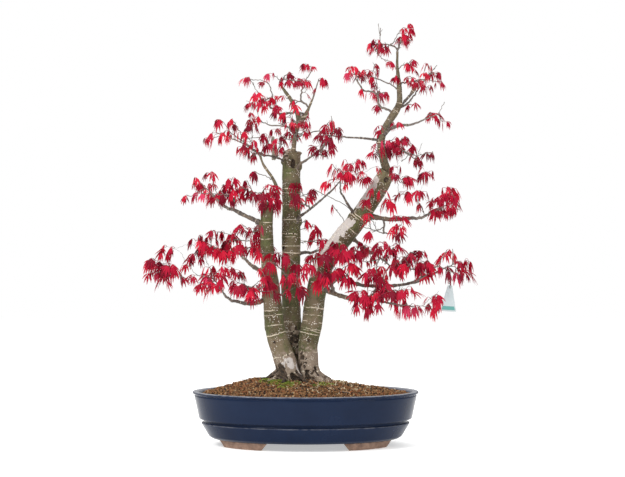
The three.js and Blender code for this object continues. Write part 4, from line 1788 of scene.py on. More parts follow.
@dataclass
class LeafShape:
    """A palmate leaf: narrow toothed lobes that share a web, as shares of the middle lobe's length."""

    lobe_angles: tuple[float, ...] = (0, 30, -30, 62, -62, 100, -100)
    lobe_lengths: tuple[float, ...] = (1, 0.96, 0.96, 0.8, 0.8, 0.45, 0.45)
    half_width: float = 0.082
    widest: float = 0.45
    web: float = 0.2
    tooth: float = 0.14
    rows: int = 9
    fold: float = 0.35
    opening: tuple[float, float] = (0.55, 1.0)  # a hanging leaf shuts like an umbrella, some more than others

    def leaves(
        self, base: Array, ahead: Array, side: Array, size: Array, droop: Array, random: np.random.Generator
    ) -> tuple[Array, Array]:
        """Builds many leaves at once.

        Args:
            base: Where each leaf's lobes meet.
            ahead: The way each leaf's middle lobe starts out.
            side: A direction across each leaf.
            size: Each middle lobe's length.
            droop: How strongly each leaf's lobes bend down.
            random: The source of their differences.

        Returns:
            Their vertices, in an array of leaves by lobes by rows by three by axes, and the faces of one leaf.
        """
        count, lobes = len(base), len(self.lobe_angles)
        side = unit(side - ahead * (side * ahead).sum(axis=1, keepdims=True))
        angle = np.radians(self.lobe_angles) * random.uniform(*self.opening, (count, 1))
        angle += random.normal(0, 0.09, (count, lobes))
        length = np.array(self.lobe_lengths) * random.uniform(0.88, 1.1, (count, lobes)) * size[:, None]
        length[:, 5:] *= random.uniform(0.2, 1.2, (count, 1))
        start = np.cos(angle)[..., None] * ahead[:, None] + np.sin(angle)[..., None] * side[:, None]
        face = np.cross(ahead, side)[:, None] + 0 * start
        share = np.linspace(0, 1, self.rows)
        bend = droop[:, None, None] * random.uniform(0.7, 1.25, (count, lobes, 1)) * share**0.8
        heading = unit(start[:, :, None] * (1 - bend[..., None]) - UP * bend[..., None])
        step = length[:, :, None, None] / (self.rows - 1)
        middle = np.concatenate([0 * heading[:, :, :1], np.cumsum(heading[:, :, 1:] * step, axis=2)], axis=2)
        middle = middle + base[:, None, None]
        normal = unit(face[:, :, None] - heading * (face[:, :, None] * heading).sum(axis=-1, keepdims=True))
        across = np.cross(normal, heading)
        profile = np.where(
            share < self.widest,
            np.minimum(self.web * share, self.half_width),
            self.half_width * np.clip((1 - share) / (1 - self.widest), 0, 1) ** 0.85,
        )
        teeth = 1 + self.tooth * np.where(np.arange(self.rows) % 2, 1, -1)
        half = length[:, :, None, None] * (profile * teeth + 0.004)[:, None]
        lift = normal * half * self.fold
        rows = np.stack([middle - across * half + lift, middle, middle + across * half + lift], axis=3)
        return rows, self.faces()

    def faces(self) -> Array:
        """Faces of one leaf."""
        place = np.arange(len(self.lobe_angles) * self.rows * 3).reshape(-1, self.rows, 3)
        here, there = place[:, :-1], place[:, 1:]
        quads = np.stack([here[..., :-1], here[..., 1:], there[..., 1:], there[..., :-1]], axis=-1)
        return quads.reshape(-1, 4)


@dataclass
class Leaf:
    """Where one leaf hangs, and its tint."""

    node: Array
    outward: Array
    petiole: float
    size: float
    droop: float
    tint: int
    region: Region


@dataclass
class Crown:
    """All that grows beyond the boughs: twigs, bare spurs, petioles and leaves."""

    boughs: Sequence[Bough]
    stems: Sequence[BarkedLimb]
    shoots: Sequence[Shoot] = ()
    reaches: Sequence[Reach] = ()
    pads: Sequence[Pad] = ()
    fullness: dict[str, float] = field(default_factory=dict)  # how leafy a mass is, where not 1
    seed: int = 7
    area_per_spray: float = 370  # square millimetres of a mass's front, as half length by half height
    low_leaf: float = 33  # a leaf's middle lobe at the lowest boughs
    high_leaf: float = 23  # and at the top
    low_height: float = 380
    high_height: float = 860
    tip_radius: float = 0.84
    branch_power: float = 2.1  # radius grows as the load to the power of one over this
    step: float = 6.5
    trunk_reluctance: float = 42
    leader_reluctance: float = 12
    spurs_per_metre: float = 38
    paired: tuple[float, float] = (0.9, 0.7)  # how often a bud bears two leaves, at the bottom and the top
    bare_share: float = 0.3  # bare twigs, as a share of leafy ones
    hanging: float = 14  # how far a mass's leaves hang below their buds
    leaf: LeafShape = field(default_factory=LeafShape)

    def __post_init__(self) -> None:
        """Starts the skeleton with the limbs."""
        self.random = np.random.default_rng(self.seed)
        self.label, _ = centre_of("tag")
        self.skeleton = Skeleton()
        self.twigs: list[Twig] = []
        self.leaves: list[Leaf] = []
        self.ends: dict[str, int] = {}
        for stem in self.stems:
            trunk = stem.node.startswith("trunk")
            reluctance = (self.trunk_reluctance if trunk else self.leader_reluctance) * MM
            for limb in stem.limbs:
                line = Limb(limb.points, limb.radii * stem.slimness).resampled(7 * MM)
                points = self.skeleton.extend(line, -1, stem.node, reluctance)
                if not trunk:
                    self.ends[f"{stem.node}_{len(self.ends)}"] = points[-1]
        for bough in self.boughs:
            line = bough.limb.resampled(7 * MM)
            points = self.skeleton.extend(line, -1, bough.name, 10 * MM, -0.3 * MM)
            self.ends[bough.name] = points[-1]
        self.fixed = len(self.skeleton.places)

    def masses(self) -> dict[str, tuple[Array, Array]]:
        """Middle and half sizes of each packed mass of foliage, by its name."""
        prefix = "foliage_"
        nodes = [node for node in sorted(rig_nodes()) if node.startswith(prefix)]
        packed = {node.removeprefix(prefix): centre_of(node) for node in nodes}
        return packed | {pad.name: (np.array(pad.at) * MM, np.array(pad.half) * MM) for pad in self.pads}

    def region_of(self, mass: str) -> Region:
        """The part of the crown that a mass is in."""
        return next(region for region in Region if region.holds(mass))

    def grow(
        self, parent: int, target: Array, region: Region, main: bool = False, lift: float = 0.25
    ) -> list[int]:
        """Grows one twig in a gentle curve with a kink at each bud.

        Args:
            parent: The point that it grows from.
            target: Where its tip goes.
            region: The part of the crown that it is in.
            main: Whether it carries a bough on at the bough's own thickness.
            lift: How much it rises before it runs to its target.

        Returns:
            Its points in the skeleton.
        """
        skeleton = self.skeleton
        start = skeleton.places[parent]
        run = target - start
        distance = float(np.linalg.norm(run))
        ahead = run / distance
        leave = unit(ahead * 0.75 + skeleton.directions[parent] * 0.55 + UP * lift)
        arrive = unit(ahead + [0, 0, 0.1 - 0.4 * ahead[2]])
        count = max(4, round(distance / (self.step * MM)) + 1)
        t = np.linspace(0, 1, count + 1)[1:, None]
        line = (
            (2 * t**3 - 3 * t**2 + 1) * start
            + (t**3 - 2 * t**2 + t) * leave * distance
            + (3 * t**2 - 2 * t**3) * target
            + (t**3 - t**2) * arrive * distance
        )
        across = unit(np.cross(ahead, self.random.normal(0, 1, 3)))
        kink = np.where(np.arange(count) % 2, 1, -1)[:, None] * self.random.uniform(0.4, 1.5, (count, 1)) * MM
        line = line + across * kink + self.random.normal(0, 0.5 * MM, (count, 3))
        limit = skeleton.limits[parent] * (0.97 if main else 0.72)
        radii = np.full(count, limit) if not main else limit + (0.95 * MM - limit) * t[:, 0] ** 0.75
        points = skeleton.extend(Limb(line, radii), parent, region.name, 0, 0.15 * MM)
        self.twigs.append(Twig(parent, points, region, main))
        return points

    def targets(self, centre: Array, half: Array, count: int) -> list[Array]:
        """Well-spread places inside a mass, drawn towards its skin.

        Args:
            centre: The mass's middle.
            half: Its half sizes.
            count: How many places are wanted.

        Returns:
            The places.
        """
        chosen: list[Array] = []
        for _ in range(count):
            directions = unit(self.random.normal(0, 1, (24, 3)))
            reach = self.random.uniform(0.35, 0.93, (24, 1)) ** 0.6
            raised = UP * (0.1 * half[2] + self.hanging * MM)
            options = centre + directions * reach * half * [1, 1, 0.95] + raised
            if chosen:
                gaps = np.linalg.norm((options[:, None] - np.array(chosen)[None]) / half, axis=2).min(axis=1)
                chosen.append(options[np.argmax(gaps)])
            else:
                chosen.append(options[0])
        return chosen

    def spray(self, twig: Sequence[int], region: Region, fullness: float = 1.0) -> None:
        """Hangs leaves on a twig, in pairs at its tip and at buds behind it.

        Args:
            twig: Its points.
            region: The part of the crown that it is in.
            fullness: How likely a bud behind the tip is to bear a pair.
        """
        skeleton = self.skeleton
        tint = int(self.random.choice(len(LEAF_TINTS), p=LEAF_TINT_SHARES))
        turn = self.random.uniform(0, math.pi)
        buds = [len(twig) - 1, *range(len(twig) - 3, 0, -2)][:4]
        for order, bud in enumerate(buds):
            if order and self.random.uniform() > (0.55, 0.4, 0.3)[order - 1] * fullness:
                continue
            ahead = skeleton.directions[twig[bud]]
            side = unit(np.cross(ahead, UP) + 1e-6)
            other = np.cross(side, ahead)
            turn += math.pi / 2
            pair = side * math.cos(turn) + other * math.sin(turn) * 0.6
            height = skeleton.places[twig[bud]][2] / MM
            paired = self.random.uniform() < np.interp(height, (400, 700), self.paired)
            for sign in (1, -1) if paired else (1,):
                forward = ahead * (0.7 if order == 0 else 0.35)
                self.hang(skeleton.places[twig[bud]], forward + pair * sign, tint, region)
        if self.random.uniform() < 0.35:
            self.hang(skeleton.places[twig[-1]], skeleton.directions[twig[-1]], tint, region, 0.75)

    def hang(self, node: Array, outward: Array, tint: int, region: Region, share: float = 1.0) -> None:
        """Hangs one leaf.

        Args:
            node: The bud that it grows from.
            outward: The way it leaves.
            tint: The spray's tint, which the leaf takes unless it happens to differ.
            region: The part of the crown that it is in.
            share: Its size as a share of the usual.
        """
        beside, above = (node - self.label)[[0, 2]] / MM
        if -30 < beside < 18 and -30 < above < 42:
            return
        rise = np.clip((node[2] / MM - self.low_height) / (self.high_height - self.low_height), 0, 1)
        usual = self.low_leaf + (self.high_leaf - self.low_leaf) * rise
        if self.random.uniform() < 0.2:
            tint = int(self.random.choice(len(LEAF_TINTS), p=LEAF_TINT_SHARES))
        self.leaves.append(
            Leaf(
                node,
                unit(outward + self.random.normal(0, 0.18, 3) + UP * 0.25),
                self.random.uniform(8, 17) * MM * (1.15 - 0.3 * rise),
                usual * share * self.random.uniform(0.72, 1.18) * MM,
                self.random.uniform(0.45, 0.95),
                tint,
                region,
            )
        )

    def fill(self, name: str, centre: Array, half: Array) -> None:
        """Grows one mass's twigs and leaves.

        Args:
            name: The mass.
            centre: Its middle.
            half: Its half sizes.
        """
        region = self.region_of(name)
        own = [bough.name for bough in self.boughs if bough.mass == name]
        for bough in own:
            end = self.ends[bough]
            run = centre - self.skeleton.places[end]
            reach = centre + unit(run) * 0.35 * half[0] + UP * 0.1 * half[2]
            points = self.grow(end, reach, region, main=True, lift=0.05)
            self.spray(points, region)
        if not own:
            centre_point = centre - UP * 0.15 * half[2]
            self.grow(self.skeleton.cheapest(centre_point), centre_point, region)
        share = self.fullness.get(name, 1.0)
        count = max(3, round(half[0] * half[2] / MM**2 / self.area_per_spray * share))
        targets = self.targets(centre, half, round(count * (1 + self.bare_share)))
        for target in sorted(targets, key=lambda place: np.linalg.norm(place - centre)):
            points = self.grow(self.skeleton.cheapest(target), target, region)
            if self.random.uniform() * (1 + self.bare_share) < 1:
                self.spray(points, region)

    def grow_all(self) -> None:
        """Grows every shoot and mass, the masses nearest to the limbs first."""
        for reach in self.reaches:
            target = np.array(reach.to) * MM
            ends = [end for name, end in self.ends.items() if name.startswith(reach.limb)]
            gaps = [float(np.linalg.norm(self.skeleton.places[end] - target)) for end in ends]
            points = self.grow(ends[int(np.argmin(gaps))], target, reach.region, main=True, lift=0.1)
            self.spray(points, reach.region)
        for shoot in self.shoots:
            parent = self.skeleton.at_height(shoot.limb, shoot.height)
            turn, rise = math.radians(shoot.azimuth), math.radians(shoot.rise)
            level = math.cos(rise)
            ahead = np.array([math.cos(turn) * level, math.sin(turn) * level, math.sin(rise)])
            target = self.skeleton.places[parent] + ahead * shoot.length * MM
            region = Region.CENTRE if self.skeleton.places[parent][0] < 0 else Region.RIGHT
            points = self.grow(parent, target, region, lift=shoot.bend)
            for spray in range(shoot.sprays):
                kept = points[: len(points) - spray * 4]
                if len(kept) > 3:
                    self.spray(kept, region, 0.5)
        masses = self.masses()
        closeness = {
            name: min(np.linalg.norm(np.array(self.skeleton.places[: self.fixed]) - centre, axis=1))
            for name, (centre, _) in masses.items()
        }
        for name in sorted(masses, key=lambda mass: closeness[mass]):
            self.fill(name, *masses[name])

    def loads(self) -> Array:
        """How many tips each point bears."""
        parents = self.skeleton.parents
        load = np.zeros(len(parents))
        for twig in self.twigs:
            load[twig.points[-1]] += 1
        for point in range(len(load) - 1, -1, -1):
            if parents[point] >= 0:
                load[parents[point]] += load[point]
        return load

    def build_twigs(self) -> None:
        """Builds each region's twigs and bare spurs as one piece, in place of its masses."""
        load = self.loads()
        limits = np.array(self.skeleton.limits)
        radii = np.minimum(self.tip_radius * MM * np.maximum(load, 1) ** (1 / self.branch_power), limits)
        places = np.array(self.skeleton.places)
        for region in Region:
            soup = Soup()
            for twig in (twig for twig in self.twigs if twig.region is region):
                chain = [twig.parent, *twig.points]
                thick = radii[chain].copy()
                if twig.main:
                    thick = np.maximum(limits[chain], thick)
                    thick[0] = limits[twig.points[0]]
                else:
                    thick[0] = thick[1] * 1.25
                line = Limb(places[chain], thick).resampled(3 * MM)
                rings = len(line.points)
                knuckles = 1 + 0.18 * (np.arange(rings) % 4 == 0) + self.random.uniform(-0.06, 0.06, rings)
                soup.add(*Limb(line.points, line.radii * knuckles).tube(7 if thick.max() > 1.4 * MM else 5))
                self.add_spurs(soup, line)
            piece = soup.piece(f"twigs_{region.name.lower()}", TWIG_BARK)
            nodes = [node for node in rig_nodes() if node.startswith("foliage_") and region.holds(node[8:])]
            settle(piece, "young_bark", nodes)

    def add_spurs(self, soup: Soup, line: Limb) -> None:
        """Adds short bare spurs along a twig.

        Args:
            soup: Where the spurs go.
            line: The twig.
        """
        length = line.lengths()[-1]
        directions = line.directions()
        for _ in range(self.random.poisson(length * self.spurs_per_metre)):
            at = self.random.integers(1, len(line.points))
            across = unit(np.cross(directions[at], self.random.normal(0, 1, 3)))
            ahead = unit(across + directions[at] * 0.7 + UP * 0.25)
            reach = self.random.uniform(3, 10) * MM
            share = np.linspace(0, 1, 4)[:, None]
            bent = line.points[at] + ahead * share * reach + across * (share * (1 - share)) * reach * 0.3
            thick = min(0.75 * MM, line.radii[at] * 0.8) * (1 - 0.45 * share[:, 0])
            soup.add(*Limb(bent, thick).tube(5))

    def build_leaves(self) -> None:
        """Builds petioles and leaves, each kind and tint of a region as one piece."""
        for region in Region:
            leaves = [leaf for leaf in self.leaves if leaf.region is region]
            petioles = Soup()
            base, ahead = [], []
            for leaf in leaves:
                flat = unit(leaf.outward * [1, 1, 0] + 1e-6)
                share = np.linspace(0, 1, 5)[:, None]
                bend = leaf.node + leaf.outward * leaf.petiole * 0.6
                end = leaf.node + (leaf.outward * 0.45 + flat * 0.45 - UP * 0.1) * leaf.petiole
                line = arc(leaf.node, bend, end, share)
                petioles.add(*Limb(line, np.linspace(0.5, 0.42, 5) * MM).tube(4))
                base.append(end)
                hang = self.random.uniform(0.4, 1.0)
                ahead.append(unit(flat * (1.05 - hang) - UP * hang + self.random.normal(0, 0.16, 3)))
            settle(petioles.piece(f"petioles_{region.name.lower()}", PETIOLE), "leaves")
            side = np.cross(np.array(ahead), UP) + self.random.normal(0, 0.45, (len(leaves), 3))
            size = np.array([leaf.size for leaf in leaves])
            droop = np.array([leaf.droop for leaf in leaves])
            layout = (np.array(base), np.array(ahead), unit(side), size, droop)
            points, faces = self.leaf.leaves(*layout, self.random)
            tint = np.array([leaf.tint for leaf in leaves])
            nodes = [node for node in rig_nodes() if node.startswith("foliage_") and region.holds(node[8:])]
            for number, finish in enumerate(LEAF_TINTS):
                chosen = points[tint == number].reshape(-1, 3)
                if not len(chosen):
                    continue
                per_leaf = points[0].size // 3
                soup = Soup()
                soup.add(chosen, [copies(faces, per_leaf, len(chosen) // per_leaf)])
                tint_name = finish.name.removeprefix("maple_leaf_")
                settle(soup.piece(f"leaves_{region.name.lower()}_{tint_name}", finish), "leaves", nodes)

    def build(self) -> None:
        """Grows the crown and builds its pieces."""
        self.grow_all()
        LOG.info("crown: %d twigs, %d leaves", len(self.twigs), len(self.leaves))
        self.build_twigs()
        self.build_leaves()


# ---- Label ------------------------------------------------------------------------------------------------


@dataclass
class Label:
    """A blank plastic plant label with a pale stripe, on a thin wire."""

    node: str = "tag"
    height: float = 60
    top_width: float = 10
    bottom_width: float = 37
    thickness: float = 0.9
    corner: float = 2.2
    hole_drop: float = 6  # from the top edge to the hole's middle
    lean: float = 4
    stripe_low: float = 3.5
    stripe_high: float = 12
    stripe_margin: float = 2.5
    stripe_proud: float = 0.12
    stripe_depth: float = 0.2  # how far it is sunk into the plate
    wire_radius: float = 0.5

    def __post_init__(self) -> None:
        """Reads the label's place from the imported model."""
        self.low, self.high = (np.array(corner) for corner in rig.box(self.node))

    def leaned(self, outline: Array) -> Array:
        """Turns an outline by the label's lean."""
        turn = math.radians(self.lean)
        return outline @ np.array([[math.cos(turn), -math.sin(turn)], [math.sin(turn), math.cos(turn)]])

    def slab(self, outline: Array, front: float, back: float, lowest: float) -> Soup:
        """A thin slab with this outline.

        Args:
            outline: Its leaned corners, across and up, in millimetres.
            front: Its front face's place behind the label's middle.
            back: Its back face's place.
            lowest: How low the leaned plate reaches, in millimetres.

        Returns:
            The slab.
        """
        middle = (self.low + self.high) / 2
        layers = []
        for depth in (front, back):
            across = middle[0] + outline[:, 0] * MM
            up = self.low[2] + (outline[:, 1] - lowest) * MM
            layers.append(np.column_stack([across, np.full(len(outline), middle[1] + depth * MM), up]))
        count = len(outline)
        ring = np.arange(count)
        walls = np.stack([ring, np.roll(ring, -1), np.roll(ring, -1) + count, ring + count], -1)
        soup = Soup()
        soup.add(np.concatenate(layers), [walls[:, ::-1], ring[None], (ring + count)[None, ::-1]])
        return soup

    def rounded(self, corners: Sequence[tuple[float, float]]) -> Array:
        """An outline with its corners rounded."""
        points = np.array(corners, dtype=float)
        made = []
        for before, here, after in zip(np.roll(points, 1, 0), points, np.roll(points, -1, 0)):
            first = here + unit(before - here) * self.corner
            last = here + unit(after - here) * self.corner
            made.extend(arc(first, here, last, share) for share in np.linspace(0, 1, 5))
        return np.array(made)

    def build(self) -> None:
        """Builds the plate, its stripe and its wire."""
        half, foot, head = self.height / 2, self.bottom_width / 2, self.top_width / 2
        plate = self.leaned(self.rounded([(-foot, -half), (foot, -half), (head, half), (-head, half)]))
        lowest = plate[:, 1].min()
        soup = self.slab(plate, -self.thickness / 2, self.thickness / 2, lowest)
        settle(soup.piece("label_plate", LABEL_PLASTIC, smooth=False), "tag", [self.node])
        low, high = self.stripe_low, self.stripe_high
        low_half, high_half = (
            foot + (head - foot) * at / self.height - self.stripe_margin for at in (low, high)
        )
        stripe = np.array(
            [
                (-low_half, low - half),
                (low_half, low - half),
                (high_half, high - half),
                (-high_half, high - half),
            ]
        )
        for face, side in (("front", -1), ("back", 1)):
            near = side * (self.thickness / 2 + self.stripe_proud)
            far = side * (self.thickness / 2 - self.stripe_depth)
            soup = self.slab(self.leaned(stripe), min(near, far), max(near, far), lowest)
            settle(soup.piece(f"label_stripe_{face}", LABEL_STRIPE, smooth=False), "tag")
        self.wire()

    def wire(self) -> None:
        """Builds the loop of wire through the label's hole and up to its twig."""
        middle = (self.low + self.high) / 2
        eye = np.array([middle[0] + 2 * MM, middle[1], self.low[2] + (self.height - self.hole_drop) * MM])
        top = np.array([middle[0] + 1 * MM, middle[1] + 1 * MM, self.high[2]])
        turn = np.linspace(0, 2 * math.pi, 25)
        loop = eye + np.column_stack([0 * turn, -np.sin(turn) * 1.6, 3.4 - np.cos(turn) * 3.6]) * MM
        share = np.linspace(0, 1, 18)[:, None]
        rise = loop[12] + (top - loop[12]) * share + np.sin(share * 9) * [0.7 * MM, 0.5 * MM, 0]
        soup = Soup()
        for line in (loop, rise, rise + [1.3 * MM, 0, 0] * np.sin(share * 14)):
            soup.add(*Limb(line, np.full(len(line), self.wire_radius * MM)).tube(6))
        settle(soup.piece("label_wire", DARK_WIRE), "tag")


# ---- Studio -----------------------------------------------------------------------------------------------


@dataclass(frozen=True)
class SoftLight:
    """A square soft light that points at the tree. Places and sizes are in metres."""

    name: str
    place: tuple[float, float, float]
    size: float
    power: float

    def build(self, target: Vector) -> None:
        """Hangs the light and points it."""
        lamp = bpy.data.lights.new(self.name, "AREA")
        lamp.size, lamp.energy = self.size, self.power
        holder = bpy.data.objects.new(self.name, lamp)
        holder.location = self.place
        holder.rotation_euler = (target - holder.location).to_track_quat("-Z", "Y").to_euler()
        bpy.context.scene.collection.objects.link(holder)


@dataclass
class Studio:
    """A pale seamless floor, soft light from all round, and the camera."""

    floor_size: float = 14
    floor_drop: float = 0.0004
    world_strength: float = 0.6  # of the light that it sheds; it is seen as plain white
    lens: float = 112.3
    camera_distance: float = 4.485
    camera_height: float = 0.474
    camera_right: float = 0.016  # of the pot's middle
    lights: tuple[SoftLight, ...] = (
        SoftLight("key_softbox", (-2.0, -2.4, 2.4), 1.3, 95),
        SoftLight("fill_softbox", (2.6, -2.2, 1.6), 1.8, 22),
        SoftLight("top_softbox", (0.2, 0.6, 3.2), 2.2, 60),
    )

    def build(self) -> None:
        """Builds the floor, the lights and the camera."""
        half = self.floor_size / 2
        corners = np.array([(-half, -half), (half, -half), (half, half), (-half, half)])
        points = np.column_stack([corners, np.full(4, -self.floor_drop)])
        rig.stage(make_piece("studio_floor", points, [[0, 1, 2, 3]], PALE_PAPER))
        world = bpy.data.worlds.new("soft_white_world")
        world.use_nodes = True
        background = world.node_tree.nodes["Background"]
        background.inputs["Color"].default_value = (1, 1, 1, 1)
        seen = add_node(world.node_tree, "LightPath", out="Is Camera Ray")
        span = {"Value": seen, "To Min": self.world_strength, "To Max": 1.0}
        world.node_tree.links.new(add_node(world.node_tree, "MapRange", span), background.inputs["Strength"])
        bpy.context.scene.world = world
        for light in self.lights:
            light.build(Vector((0, 0, 0.4)))
        self.place_camera()
        bpy.context.scene.view_settings.view_transform = "Standard"

    def place_camera(self) -> None:
        """Sets the camera level, in front of the pot."""
        lens = bpy.data.cameras.new("portrait_lens")
        lens.lens, lens.clip_end = self.lens, 50
        camera = bpy.data.objects.new("portrait_camera", lens)
        pot, _ = centre_of("pot")
        camera.location = (pot[0] + self.camera_right, -self.camera_distance, self.camera_height)
        camera.rotation_euler = (math.pi / 2, 0, 0)
        bpy.context.scene.collection.objects.link(camera)
        bpy.context.scene.camera = camera


# ---- The whole tree ---------------------------------------------------------------------------------------

KNOT, BURL, HOLLOW, BARE, RING, COLLAR = MarkKind

TRUNK_MARKS = {
    "trunk_left": (
        BarkMark(RING, 256), BarkMark(RING, 298), BarkMark(RING, 420), BarkMark(KNOT, 240, -110, 6),
        BarkMark(BARE, 186, -66, 13, 6), BarkMark(BARE, 168, -34, 10, 8), BarkMark(BARE, 182, -112, 9, 8),
        BarkMark(HOLLOW, 158, -108, 8, 9), BarkMark(HOLLOW, 152, -76, 7, 10),
        BarkMark(HOLLOW, 156, -48, 7, 8), BarkMark(BURL, 156, -128, 9, 4),
        BarkMark(HOLLOW, 160, -20, 5, 8), BarkMark(KNOT, 206, -60, 3.5), BarkMark(COLLAR, 342, -160, 12),
        BarkMark(COLLAR, 395, 170, 12), BarkMark(COLLAR, 505, 180, 12), BarkMark(KNOT, 340, 70, 7),
    ),
    "trunk_centre": (
        BarkMark(BURL, 250, -84, 17, 14), BarkMark(BURL, 216, -66, 13, 8),
        BarkMark(HOLLOW, 238, -72, 4, 2), BarkMark(RING, 590), BarkMark(RING, 484), BarkMark(RING, 440),
        BarkMark(RING, 380), BarkMark(KNOT, 484, -112, 3), BarkMark(KNOT, 484, -76, 3),
        BarkMark(KNOT, 452, -140, 7), BarkMark(RING, 458), BarkMark(HOLLOW, 646, -78, 8, 3),
        BarkMark(BURL, 664, -120, 12, 3), BarkMark(BURL, 668, -30, 10, 3), BarkMark(COLLAR, 640, 0, 12),
        BarkMark(COLLAR, 512, 0, 12), BarkMark(COLLAR, 655, 175, 12), BarkMark(KNOT, 330, 100, 8),
    ),
    "trunk_right": (
        BarkMark(RING, 315), BarkMark(RING, 266), BarkMark(RING, 256), BarkMark(RING, 298),
        BarkMark(RING, 520), BarkMark(KNOT, 241, -88, 6), BarkMark(BURL, 196, -118, 13, 10),
        BarkMark(BURL, 168, -74, 15, 6), BarkMark(HOLLOW, 160, -100, 6, 8),
        BarkMark(HOLLOW, 166, -50, 5, 8), BarkMark(BARE, 468, -142, 23, 44),
        BarkMark(BARE, 572, -146, 17, 34), BarkMark(BARE, 410, -150, 15, 24), BarkMark(KNOT, 609, -70, 9),
        BarkMark(COLLAR, 514, 150, 14), BarkMark(COLLAR, 362, -30, 13), BarkMark(COLLAR, 396, 10, 12),
        BarkMark(KNOT, 380, 90, 8),
    ),
}

SHOOTS = (
    Shoot("trunk_right", 514, 182, 36, 118),
    Shoot("trunk_right", 486, 200, 60, 70, 1),
    Shoot("trunk_centre", 484, 0, 48, 46),
    Shoot("trunk_centre", 478, -8, 24, 52),
    Shoot("trunk_centre", 450, -10, 14, 74),
    Shoot("trunk_centre", 560, -12, 24, 52, 2),
    Shoot("trunk_centre", 586, -60, 30, 26),
    Shoot("leader_centre", 696, -5, 16, 104, 2),
    Shoot("leader_centre", 756, 182, 4, 62, 2),
    Shoot("leader_centre", 776, 176, 22, 58, 2),
    Shoot("leader_right", 812, 185, 26, 88, 2),
    Shoot("leader_right", 756, 182, 30, 36),
    Shoot("leader_right", 826, 0, 16, 44),
    Shoot("leader_right", 862, -4, 34, 36, 1),
    Shoot("trunk_left", 330, -20, 32, 66, 2),
)

BOUGH_SLIMNESS = {"centre_left": 0.55, "centre_right_high": 0.8, "centre_right": 0.85}

REACHES = (
    Reach("leader_left", (-226, -14, 716), Region.CENTRE),
    Reach("leader_centre", (-66, 6, 852), Region.CENTRE),
    Reach("leader_centre", (8, -6, 840), Region.CENTRE),
    Reach("leader_right", (206, -2, 946), Region.TOP),
)

PADS = (
    Pad("left_far", (-352, -30, 410), (22, 34, 26)),
    Pad("left_far_inner", (-261, -30, 446), (28, 40, 18)),
    Pad("left_inner_low", (-146, -30, 492), (26, 34, 18)),
    Pad("left_apron", (-146, -64, 444), (30, 40, 18)),
    Pad("left_apron_end", (-92, -72, 418), (22, 24, 18)),
    Pad("left_low_apron", (-146, -90, 346), (34, 30, 14)),
    Pad("left_bridge", (-203, -50, 438), (24, 36, 16)),
    Pad("left_high_end", (-186, -30, 566), (26, 30, 16)),
    Pad("left_stump", (-112, -54, 570), (22, 20, 14)),
    Pad("left_stump_low", (-98, -50, 550), (20, 22, 16)),
    Pad("left_over_stump", (-150, -24, 660), (18, 24, 12)),
    Pad("crown_between", (-136, -8, 774), (26, 34, 18)),
    Pad("crown_throat", (-88, -22, 674), (22, 24, 12)),
    Pad("crown_middle", (-34, -26, 716), (24, 28, 14)),
    Pad("centre_left_inner", (-146, -20, 726), (24, 32, 18)),
    Pad("centre_top_right", (24, -20, 664), (26, 30, 18)),
    Pad("centre_mid", (-34, -50, 556), (20, 22, 12)),
    Pad("right_fork_end", (141, -34, 670), (26, 34, 18)),
    Pad("right_low_inner", (141, -90, 344), (30, 30, 14)),
    Pad("right_skirt", (256, -40, 394), (26, 34, 14)),
    Pad("right_shoulder", (199, -30, 678), (26, 30, 16)),
    Pad("right_neck", (166, -26, 728), (28, 28, 16)),
    Pad("right_upper_end", (250, -12, 612), (16, 24, 10)),
    Pad("right_reach_end", (304, -24, 562), (20, 26, 14)),
    Pad("right_throat", (196, -40, 604), (24, 26, 20)),
    Pad("right_between", (141, -50, 550), (28, 34, 22)),
    Pad("right_fan", (88, -64, 440), (30, 36, 20)),
    Pad("centre_skirt", (34, -70, 376), (32, 30, 16)),
    Pad("right_fan_end", (150, -60, 440), (28, 34, 16)),
    Pad("right_apron", (138, -84, 382), (30, 36, 18)),
    Pad("right_apron_end", (199, -64, 410), (32, 40, 18)),
    Pad("top_left_tip", (92, -20, 840), (18, 24, 14)),
    Pad("top_neck", (141, -12, 900), (20, 28, 16)),
)

FULLNESS = {
    "centre_left": 0.8, "left_high": 0.75, "left_inner": 1.1, "left_low": 1.2, "left_low_tip": 1.2,
    "crown": 1.1, "crown_left": 0.8, "crown_low": 1.3, "centre_right": 0.4, "centre_right_high": 0.55,
    "right_top_left": 0.7, "leader_right": 0.65, "leader_right_low": 1.2, "top_right": 1.3,
    "top_left": 0.9, "right_front": 1.25, "right_low": 1.1, "right_low_back": 0.75,
}


# Each trunk's surface roots.
ROOTS = {
    "trunk_left": (
        SurfaceRoot(-90, 42, 6.5, 34), SurfaceRoot(-72, 30, 4, 26), SurfaceRoot(-40, 54, 7.5, 36),
        SurfaceRoot(-128, 46, 6, 24), SurfaceRoot(-14, 44, 5, 24), SurfaceRoot(214, 44, 6, 18),
        SurfaceRoot(188, 60, 6, 14),
    ),
    "trunk_centre": (SurfaceRoot(80, 62, 7, 20),),
    "trunk_right": (
        SurfaceRoot(-90, 34, 5, 24), SurfaceRoot(-48, 46, 5.5, 24), SurfaceRoot(4, 44, 6, 20),
    ),
}
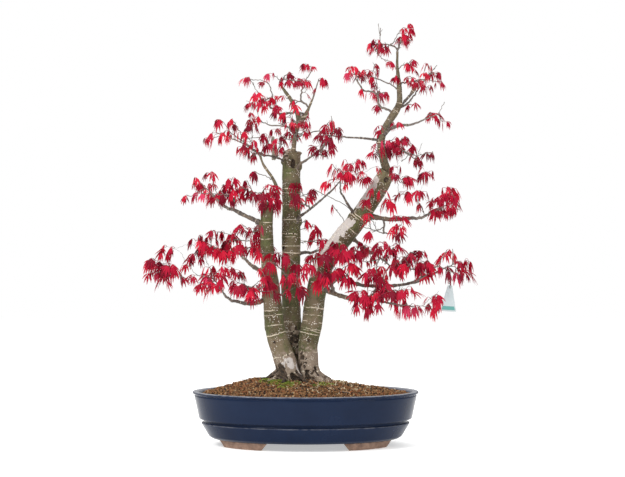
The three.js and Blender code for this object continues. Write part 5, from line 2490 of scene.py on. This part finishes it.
# How far up each trunk's bark is worn, in millimetres.
WORN_BELOW = {"trunk_left": 62, "trunk_centre": 34, "trunk_right": 70}
# How thick each leader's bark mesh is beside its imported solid.
LEADER_SLIMNESS = {"left": 0.72, "centre": 0.9, "right": 0.96}


def build_tree() -> None:
    """Builds the pot and the plant, from the feet up."""
    Pot().build()
    for end, face in itertools.product(("left", "right"), ("front", "back")):
        PotFoot(f"foot_{face}_{end}").build()
    Soil().build()
    stems = [
        BarkedLimb(
            node, "bark", MATURE_BARK, TRUNK_MARKS[node], ROOTS[node],
            clear_of_roots=34, worn_below=WORN_BELOW[node], seed=seed,
        )
        for seed, node in enumerate(ROOTS)
    ]
    stems += [
        BarkedLimb(
            f"leader_{side}", "young_bark", LEADER_BARK,
            voxel=0.9, lump=1.1, fluting=0, sunk=9, slimness=slimness, seed=seed,
        )
        for seed, (side, slimness) in enumerate(LEADER_SLIMNESS.items(), 11)
    ]
    for stem in stems:
        stem.build()
    BarkedLimb("snag", "deadwood", DEADWOOD, voxel=0.8, lump=0.8, fluting=3, sunk=6, seed=31).build()
    others = {"right_fork": "centre_right", "leader_left": "centre_right_high"}
    names = sorted(node.removeprefix("bough_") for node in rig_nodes() if node.startswith("bough_"))
    boughs = [Bough(name, others.get(name, ""), seed=40 + number) for number, name in enumerate(names)]
    for bough in boughs:
        bough.slimness *= BOUGH_SLIMNESS.get(bough.name, 1.0)
        bough.build()
    Crown(boughs, stems, SHOOTS, REACHES, PADS, FULLNESS).build()
    Label().build()


def write_sizes(packed: tuple[Vector, Vector]) -> None:
    """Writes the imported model's box and the finished one's."""
    sizes = {"packed": [list(corner) for corner in packed], "finished": [list(corner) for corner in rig.bounds()]}
    with open(SIZE_FILE, "w") as file:
        json.dump(sizes, file)


def main() -> None:
    """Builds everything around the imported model."""
    logging.basicConfig(level=logging.INFO, format="%(message)s")
    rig.load()
    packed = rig.bounds()
    Studio().build()
    build_tree()
    write_sizes(packed)


if __name__ == "__main__":
    main()
